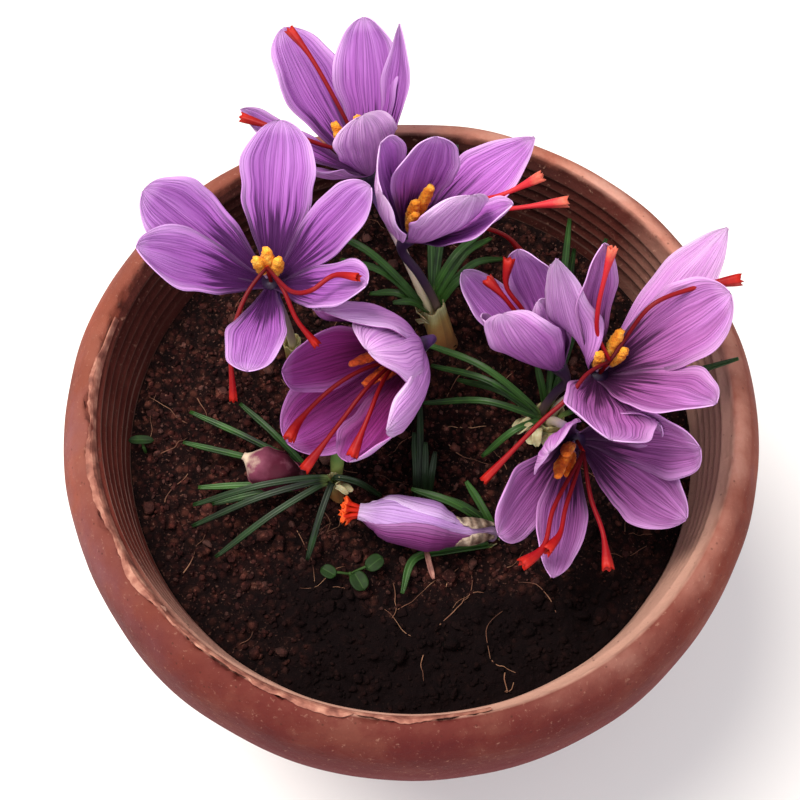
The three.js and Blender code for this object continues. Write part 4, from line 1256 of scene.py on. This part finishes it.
# %% [markdown]
# ## Leaves
#
# Saffron leaves are stiff, narrow grass blades: dark green, grooved, with a pale midrib. Each
# starts inside the sheath, rises, and arches out to its tip. A flat grid is bent along that path
# and folded down its middle, so the groove is real and catches light. Two tufts stand in the
# shade of a flower, and their skin is darker.

# %% Leaf skins
LEAF_TONES = {
    "leaf_blade": ("#0b1909", "#17300f", "#284f18", "#4c7c34"),
    "leaf_blade_shaded": ("#080f08", "#0e1e0c", "#183214", "#2c4a24"),
}
greens = []
for name, (dark, main, lit, rib) in LEAF_TONES.items():
    made, add = new_finish(
        name, Roughness=0.45, Specular_IOR_Level=0.3, Subsurface_Weight=0.05,
        Subsurface_Scale=0.001,
    )
    far, side, one = (add("Attribute", **number) for number in (ALONG, ACROSS, EACH))
    vary = add("TexNoise", add("TexCoord", **SPOT), 120, 3)
    green = add("ValToRGB", vary, stops=((0.3, dark), (0.5, main), (0.72, lit)))
    green = add("Mix", add("Math", one, 0.28, **TIMES), green, rib, **PAINT)
    green = veil(add, green, "#93a860", far, (0.04, 0.6), (0.13, 0.0))
    middle = add("Math", side, operation="ABSOLUTE")
    green = veil(add, green, rib, middle, (0.05, 0.4), (0.18, 0.0))
    greens.append(dress(made, green, vary, 0.2, 0.5))
print("leaf skins:", len(greens))

# %% Leaf rows
LIT, SHADED = greens
# Each tuft: the leaves' width and skin, then for each leaf the point where it leaves the sheath,
# its tip, how high it arches, and the points that it passes, where an arch isn't enough.
LEAVES = {
    "back": (2.4, LIT, [
        ((3, 40.2, 161), (-36, 64, 174), 10), ((3.2, 39.2, 161), (-24, 54, 166), 8),
        ((8.2, 45, 161), (24, 63, 168), 7), ((10, 43.8, 161), (28, 65, 162), 9),
        ((11, 42.8, 161), (32, 58, 160), 9), ((3.4, 38.6, 161), (-14, 44, 160), 5),
        ((8, 45, 161), (16, 94, 176), 10), ((7.2, 45, 161), (6, 96, 176), 10),
        ((11.2, 41.6, 161), (22, 48, 168), 4), ((4.4, 37.6, 161), (-6, 36, 168), 3)]),
    "right": (2.1, LIT, [
        ((42.6, 4.4, 150), (2, 29, 154), 9), ((42.4, 3.4, 150), (7, 22, 149), 8),
        ((42.6, 2.6, 150), (16, 19, 144), 6), ((42.8, 1.8, 150), (4, 11, 142), 8),
        ((43.4, 0.8, 150), (24, -9, 142), 6), ((46.2, 8.4, 150), (56, 74, 160), 10),
        ((47, 8.6, 150), (58, 66, 153), 8), ((47.8, 8.2, 150), (67, 61, 168), 10),
        ((51.4, 3, 150), (105, 10, 178), 2), ((45.2, 8.4, 150), (42, 17, 160), 1)]),
    "tuft": (1.8, SHADED, [
        ((-28, -21, 153), (-72, -28, 146), 5), ((-28, -22, 153), (-72, -35, 145), 5),
        ((-28, -23, 153), (-64, -45, 143), 4), ((-26, -23, 153), (-34, -46, 143), 3),
        ((-25, -21, 153), (-10, -24, 144), 4)]),
    "young": (1.9, LIT, [
        ((-37, -13.8, 141.9), (-77, -5, 145), 0), ((-36.2, -13.6, 142.4), (-75, 5.4, 147), 3),
        ((-38, -20.2, 142.4), (-71, -21, 144), 2), ((-37.4, -20.4, 142.4), (-66, -27, 144), 2),
        ((-35.4, -13.8, 142.4), (-58, 8, 148), 4)]),
    "front": (2.4, LIT, [
        ((26.4, -33.8, 142.4), (18, -22, 152), 2), ((24.8, -34, 142.4), (0, -25, 153), 6),
        ((25.6, -33.8, 142.4), (9, -27, 152), 4), ((29.2, -36.6, 142.4), (33, -36, 149), 2),
        ((25.4, -40.4, 142.4), (-3, -57, 142), 3, (12, -42, 141), (1, -45, 141.4))]),
    "bundle": (1.9, SHADED, [
        ((2, -22, 141), (1, -4, 151), 2), ((3, -22, 141), (3, 6, 154), 3),
        ((4.6, -22, 141), (4.8, -8, 152), 2), ((6, -22, 141), (8, -11, 151), 2)]),
}
print("leaves:", sum(len(blades) for _, _, blades in LEAVES.values()))

# %% Leaves
BLADE_ROWS = 26
random.seed(5)


def blade(points, each, width, thick=0.5):
    path = smooth_path(points, BLADE_ROWS)

    def place(x, t):
        k = round(t * BLADE_ROWS)
        s = k / BLADE_ROWS
        ahead = (path[min(k + 1, BLADE_ROWS)] - path[max(k - 1, 0)]).normalized()
        side = Vector((ahead.y, -ahead.x, 0))
        side = side.normalized() if side.length > 0.2 else Vector((1, 0, 0))
        half = width / 2 * min(1.0, 0.55 + s * 2)
        half *= 1 if s < 0.72 else 1 - 0.8 * ((s - 0.72) / 0.28) ** 2
        fold = side.cross(ahead) * (0.42 * abs(x) ** 1.5)
        return path[k] + side * x * half + fold, (s, x, each)

    return sheet(6, BLADE_ROWS, thick, place)


for key, (width, skin, blades) in LEAVES.items():
    plant = PLANTS[key]
    (px, py), (dx, dy) = plant["at"], plant["lean"]
    heart = Vector((px + dx, py + dy, plant["top"] - 3))
    parts = []
    for foot, tip, rise, *passes in blades:
        foot, tip = Vector(foot), Vector(tip)
        way = passes or [foot.lerp(tip, 0.45) + Vector((0, 0, rise))]
        start = heart.lerp(Vector((foot.x, foot.y, heart.z)), 0.6)
        parts.append(blade([start, foot, *way, tip], random.random(), width))
    make_piece("grass_" + key, parts, [skin], ["leaves_" + key])

# %% [markdown]
# ## Buds
#
# The big bud has toppled: it lies over, and the ends of its threads stick out of its mouth. Its
# petals are still rolled round each other, which shows as one long seam. The core is a swept
# body, and sheets wrapped most of the way round it make the seam and the dry sleeve at its foot.
# The small bud is plum-coloured with a whitish tip.

# %% Bud rows and body
BUD_STEPS = 44
LILAC_BUD = {
    "path": [
        (26, -37, 133), (26, -37, 146), (15, -38.5, 149.5), (3, -36.5, 151.5), (-9, -34.5, 153),
        (-17, -33, 153.5)],
    "wide": [1.5, 1.8, 3.7, 8.0, 7.6, 2.7],
}
PLUM_BUD = {
    "path": [
        (-37, -17, 133), (-37, -17, 143), (-40.5, -18, 147), (-46, -17.4, 150),
        (-51, -15.5, 152.4), (-55.4, -13.6, 154)],
    "wide": [1.5, 1.8, 4.2, 7.0, 6.4, 1.2],
}


def spread(values, s):
    at = min(1.0, max(0.0, s)) * (len(values) - 1)
    i = min(len(values) - 2, int(at))
    return values[i] + (values[i + 1] - values[i]) * soft_step(at - i, 0, 1)


def bud_core(bud, sides, each):
    path = smooth_path(bud["path"], BUD_STEPS)
    bm = sweep(path, sides, lambda s: spread(bud["wide"], s), each=each, mouth=(3.0, 0.8))
    along, across, _ = layers(bm)
    places = stations(path)
    for v in bm.verts:
        off = places[min(BUD_STEPS, round(v[along] * BUD_STEPS))].inverted() @ v.co
        v[across] = math.sin(math.atan2(off.y, off.x) * 0.5)
    return bm


def bud_wrap(bud, each, start, turn, low, high, lift):
    """A petal still rolled on the bud, or its sleeve: a sheet laid round part of its body."""
    places = stations(smooth_path(bud["path"], 60))

    def place(x, t):
        s = low + (high - low) * t
        narrow = math.sin(math.pi * min(1.0, 0.12 + 0.86 * t)) ** 0.45
        angle = math.radians(start + turn * 0.5 * (1 + x * narrow))
        r = spread(bud["wide"], s) + lift * (0.3 + 0.7 * math.sin(math.pi * min(1, t + 0.1)))
        spot = Vector((math.cos(angle) * r, math.sin(angle) * r, 0))
        return places[round(s * 60)] @ spot, (0.35 + 0.6 * t, x, each)

    return sheet(24, 30, 0.3, place)


print("the big bud is", 2 * spread(LILAC_BUD["wide"], 0.6), "mm thick at its widest")

# %% Bud skins
WRAP_TONES = ((0.32, "#583e34"), (0.46, "#84705f"), (0.6, "#a89684"), (0.75, "#c8bca8"))
PLUM_TONES = (
    (0.3, "#6c5242"), (0.42, "#2c0c16"), (0.7, "#4c1628"), (0.86, "#743a4e"), (0.95, "#c8b49e"),
)
sleeve = mottled("sheath_wrap", 230, 4, WRAP_TONES, (0.3, 0.6), 0.65, Roughness=0.65)
plum, add = new_finish("petal_bud_plum", Roughness=0.6, Specular_IOR_Level=0.15)
where = add("TexCoord", **SPOT)
vary = add("TexNoise", where, 260, 3)
blotches = add("TexNoise", where, 130, 4, 0.7)
rise = drifting(add, add("Attribute", **ALONG), vary, 0.25)
tone = add("ValToRGB", rise, stops=PLUM_TONES)
dress(plum, veil(add, tone, "#7c4c5a", blotches, (0.56, 0.0), (0.68, 0.5)), blotches, 0.5, 0.7)
print("plum tones:", len(PLUM_TONES))

# %% Buds
parts = [
    bud_core(LILAC_BUD, 30, 0.2), bud_wrap(LILAC_BUD, 0.5, 10, 220, 0.32, 0.95, 0.4),
    coat(bud_wrap(LILAC_BUD, 0.7, 165, 185, 0.3, 0.97, 0.6), 1),
    coat(bud_wrap(LILAC_BUD, 0.9, 0, 340, 0.2, 0.5, 1.3), 2),
]
make_piece("bud_lilac", parts, [silk["bud"], silk["bud_side"], sleeve], ["bud_1"])
parts = [
    bud_core(PLUM_BUD, 26, 0.4), bud_wrap(PLUM_BUD, 0.6, 60, 200, 0.45, 0.97, 0.4),
    bud_wrap(PLUM_BUD, 0.8, 0, 330, 0.2, 0.5, 0.9),
]
make_piece("bud_plum", parts, [plum], ["bud_2"])

# %% Threads in the bud's mouth
THREAD_ENDS = 7
random.seed(31)
parts = []
for k in range(THREAD_ENDS):
    turn = k / THREAD_ENDS * math.tau
    off = Vector((0, math.cos(turn), math.sin(turn)))
    tip = Vector((-21.4 - random.uniform(0, 1.8), -33, 154.4))
    path = [Vector((-13, -33.6, 153.3)) + off * 0.8, Vector((-18, -33, 154)) + off * 1.8]
    parts.append(thread(path + [tip + off * 3.0], k * 1.3, 2.0))
make_piece("bud_threads", parts, [saffron["fire"]], ["bud_1_stigmas"])

# %% [markdown]
# ## Seedlings and scraps
#
# A few round-leaved weed seedlings grow in the soil. Torn bits of sheath stand up round the
# thickest clump, a brown husk lies at the front, and a pale shoot rises beside the tuft. They
# are sheets and swept rods like the leaves and the tubes, so the same helpers make them.

# %% Seedlings
WEED_TONES = ((0.3, "#10200a"), (0.6, "#1a3210"), (0.8, "#2a4a18"))
# Each leaf: where it is, how long and wide its half is, and its turn in degrees.
SEEDLINGS = {
    "left": ((-91, -5), [(-91.6, -3.4, 143, 4.4, 1.6, 0)]),
    "front": ((-20, -50), [
        (-27, -50, 143, 2.8, 2.2, 150), (-17, -53, 142.5, 3.6, 2.8, 300),
        (-12, -47, 143, 3.4, 2.6, 40)]),
}
weed_green, add = new_finish("leaf_weed", Roughness=0.6, Specular_IOR_Level=0.15)
middle = add("Math", add("Attribute", **ACROSS), operation="ABSOLUTE")
green = add("ValToRGB", add("TexNoise", add("TexCoord", **SPOT), 240, 3), stops=WEED_TONES)
dress(weed_green, veil(add, green, "#42602c", middle, (0.03, 0.35), (0.1, 0.0)))


def round_leaf(x, y, z, long, wide, turn):
    def place(u, t):
        far = t * 2 - 1
        half = math.sqrt(max(0.0, 1 - abs(far) ** 2.3)) + 0.03
        return (far * long, u * half * wide, 0.5 * abs(u) - 0.5 * far * far), (t, u, 0)

    bm = sheet(10, 14, 0.35, place)
    move = Matrix.Translation((x, y, z)) @ Matrix.Rotation(math.radians(turn), 4, "Z")
    bmesh.ops.transform(bm, matrix=move, verts=bm.verts)
    return bm


for key, ((fx, fy), leaves) in SEEDLINGS.items():
    stem = [Vector((fx, fy, z)) for z in (SOIL_Z - 4, SOIL_Z, 141.4)]
    parts = [sweep(stem, 8, lambda s: 0.6)]
    for x, y, z, *form in leaves:
        parts.append(round_leaf(x, y, z, *form))
        halfway = ((fx + x) / 2, (fy + y) / 2, (141.4 + z) / 2)
        stalk = smooth_path([(fx, fy, 140.6), halfway, (x, y, z - 0.3)], 8)
        parts.append(sweep(stalk, 8, lambda s: 0.45))
    make_piece("weed_" + key, parts, [weed_green], ["seedling_" + key])

# %% Torn scraps of sheath
SCRAP_THICKNESS = 0.25
# Each scrap: its plant, its turn round it, its length and width, and its lean in degrees.
SCRAPS = [
    ("right", 200, 9, 5, 70), ("right", 235, 10, 6, 60), ("right", 170, 8, 4, 55),
    ("right", 265, 7, 5, 75), ("back", 215, 9, 6, 20), ("tuft", 330, 6, 3, 60),
    ("front", 120, 8, 5, 60),
]
LOOSE = [
    (1.6, [(4.6, -42, 141.4), (5, -43, 142), (6, -47.5, 142.2), (7.2, -52, 141.6)]),
    (1.8, [(-24.6, -24, 152), (-23.4, -24.8, 153.4), (-22, -26, 153.8), (-20.8, -27, 153.2)]),
    (3.2, [(41.6, 0.6, 149), (39.6, -0.4, 152), (37, -2.6, 152.4), (35.4, -4.4, 151)]),
    (3.2, [(43, -1.4, 149), (42.2, -3.6, 152), (41.8, -6.4, 151.6), (42, -8.4, 149.4)]),
]
scrap_paper = mottled(
    "sheath_scrap", 260, 4, ((0.3, "#7a704e"), (0.5, "#aca27a"), (0.75, "#cfc9a6")), (0.3, 0.6),
    Roughness=0.6, Subsurface_Weight=0.2, Subsurface_Scale=0.002,
)
husk = mottled(
    "husk_brown", 400, 3, ((0.36, "#744a42"), (0.5, "#8a5a50"), (0.66, "#a27466")), (0.2, 0.5),
    Roughness=0.7,
)
parts = []
for k, (key, turn, length, width, lean) in enumerate(SCRAPS):
    plant = PLANTS[key]
    (px, py), (dx, dy) = plant["at"], plant["lean"]
    out = Vector((math.cos(math.radians(turn)), math.sin(math.radians(turn)), 0))
    foot = Vector((px + dx * 0.8, py + dy * 0.8, plant["top"] - 4)) + out * (plant["r"] - 0.2)
    tilt = math.radians(lean)
    tip = foot + Vector((0, 0, math.cos(tilt) * length)) + out * math.sin(tilt) * length
    way = [foot - Vector((0, 0, 3)), foot, foot.lerp(tip, 0.5) + Vector((0, 0, 1)), tip]
    parts.append(blade(way, k * 0.1, width, SCRAP_THICKNESS))
for k, (width, line) in enumerate(LOOSE):
    parts.append(coat(blade(line, 0.8 + k * 0.05, width, SCRAP_THICKNESS), 1 if k == 0 else 0))
make_piece("sheath_scraps", parts, [scrap_paper, husk], [])

# %% The young shoot beside the tuft
SHOOT = [(-25, -20.4, 134), (-25, -20, 141), (-24.6, -16.6, 150), (-24, -12.6, 157)]
SHOOT_TONES = ((0.2, "#6e4a30"), (0.4, "#a58a52"), (0.62, "#8a9450"), (0.9, "#5e7a3c"))
shoot_skin = lengthwise(
    "shoot_pale_green", 220, 4, 0.5, SHOOT_TONES, Roughness=0.5, Specular_IOR_Level=0.25
)
plump = lambda s: 2.5 - 0.5 * s + 0.3 * math.sin(s * 9)
shoot = sweep(smooth_path(SHOOT, 20), 18, plump, mouth=(3.0, 0.8))
make_piece("shoot_pale", [shoot], [shoot_skin], [])

# %% [markdown]
# ## Corms
#
# The corms are buried, but they are part of the plant: flattened globes in a net of brown
# fibres. A spun line gives the globe, and noise stretched upwards draws the net.

# %% Corms
CORM_TURNS = 40
CORM_LINE = [
    (0, 88), (5, 87.9), (7, 88.3), (10.4, 90.6), (11.8, 94), (11.6, 97), (9.8, 100.3),
    (6.4, 103.2), (3.4, 105.4), (2.1, 106.9), (0, CORM_TOP),
]
tunic, add = new_finish("corm_tunic", Roughness=0.8)
upright = add("Mapping", add("TexCoord", **SPOT), Scale=(1.0, 1.0, 0.18))
net = add("TexNoise", upright, 900, 4)
fibres = add("ValToRGB", net, stops=((0.35, "#4d2f1c"), (0.5, "#7c5531"), (0.7, "#a98253")))
dress(tunic, fibres, net, 0.5, 0.8)
for key, plant in PLANTS.items():
    centre = Vector((*plant["corm"], 0))
    bulb = spin(CORM_LINE, CORM_TURNS)
    for v in bulb.verts:
        push = noise.noise(v.co * 0.35 + centre) * 0.5
        v.co += Vector((v.co.x, v.co.y, 0)) * push * 0.05 + centre
    make_piece("bulb_" + key, [bulb], [tunic], ["corm_" + key])

# %% [markdown]
# ## Floor and light
#
# The photograph was taken in soft daylight. A large round lamp above and to the left is the
# daylight, a weaker one low at the front lifts the shadows on the petals' near sides, and a
# bright sky fills the rest. One sun lamp would do too, but its shadows are too hard.

# %% Floor
floor_paint, add = new_finish("floor_paint", Roughness=0.9, Base_Color=linear("#f4f3f1"))
floor_mesh = bmesh.new()
bmesh.ops.create_grid(floor_mesh, x_segments=1, y_segments=1, size=3.0)
floor_sheet = bpy.data.meshes.new("floor")
floor_mesh.to_mesh(floor_sheet)
floor_mesh.free()
floor_sheet.materials.append(floor_paint)
floor = bpy.data.objects.new("floor", floor_sheet)
bpy.context.scene.collection.objects.link(floor)
print("floor faces:", len(floor_sheet.polygons))

# %% Light
SKY_STRENGTH = 0.62
LAMPS_LOOK_AT = (0, 0, 0.15)
sky = bpy.data.worlds.new("sky")
sky.use_nodes = True
sky.node_tree.nodes["Background"].inputs["Color"].default_value = linear("#fcfbff")
sky.node_tree.nodes["Background"].inputs["Strength"].default_value = SKY_STRENGTH
bpy.context.scene.world = sky
for name, place, size, power, code in (
    ("daylight", (-0.42, 0.14, 1.25), 0.7, 20, "#fff8ee"),
    ("window", (0.25, -0.95, 0.8), 0.9, 5, "#fbf8ff"),
):
    light = bpy.data.lights.new(name, "AREA")
    light.shape = "DISK"
    light.size = size
    light.energy = power
    light.color = linear(code)[:3]
    aimed(name, light, place, LAMPS_LOOK_AT)
print("pieces:", len(made_pieces), "triangles:", sum(made_pieces.values()))
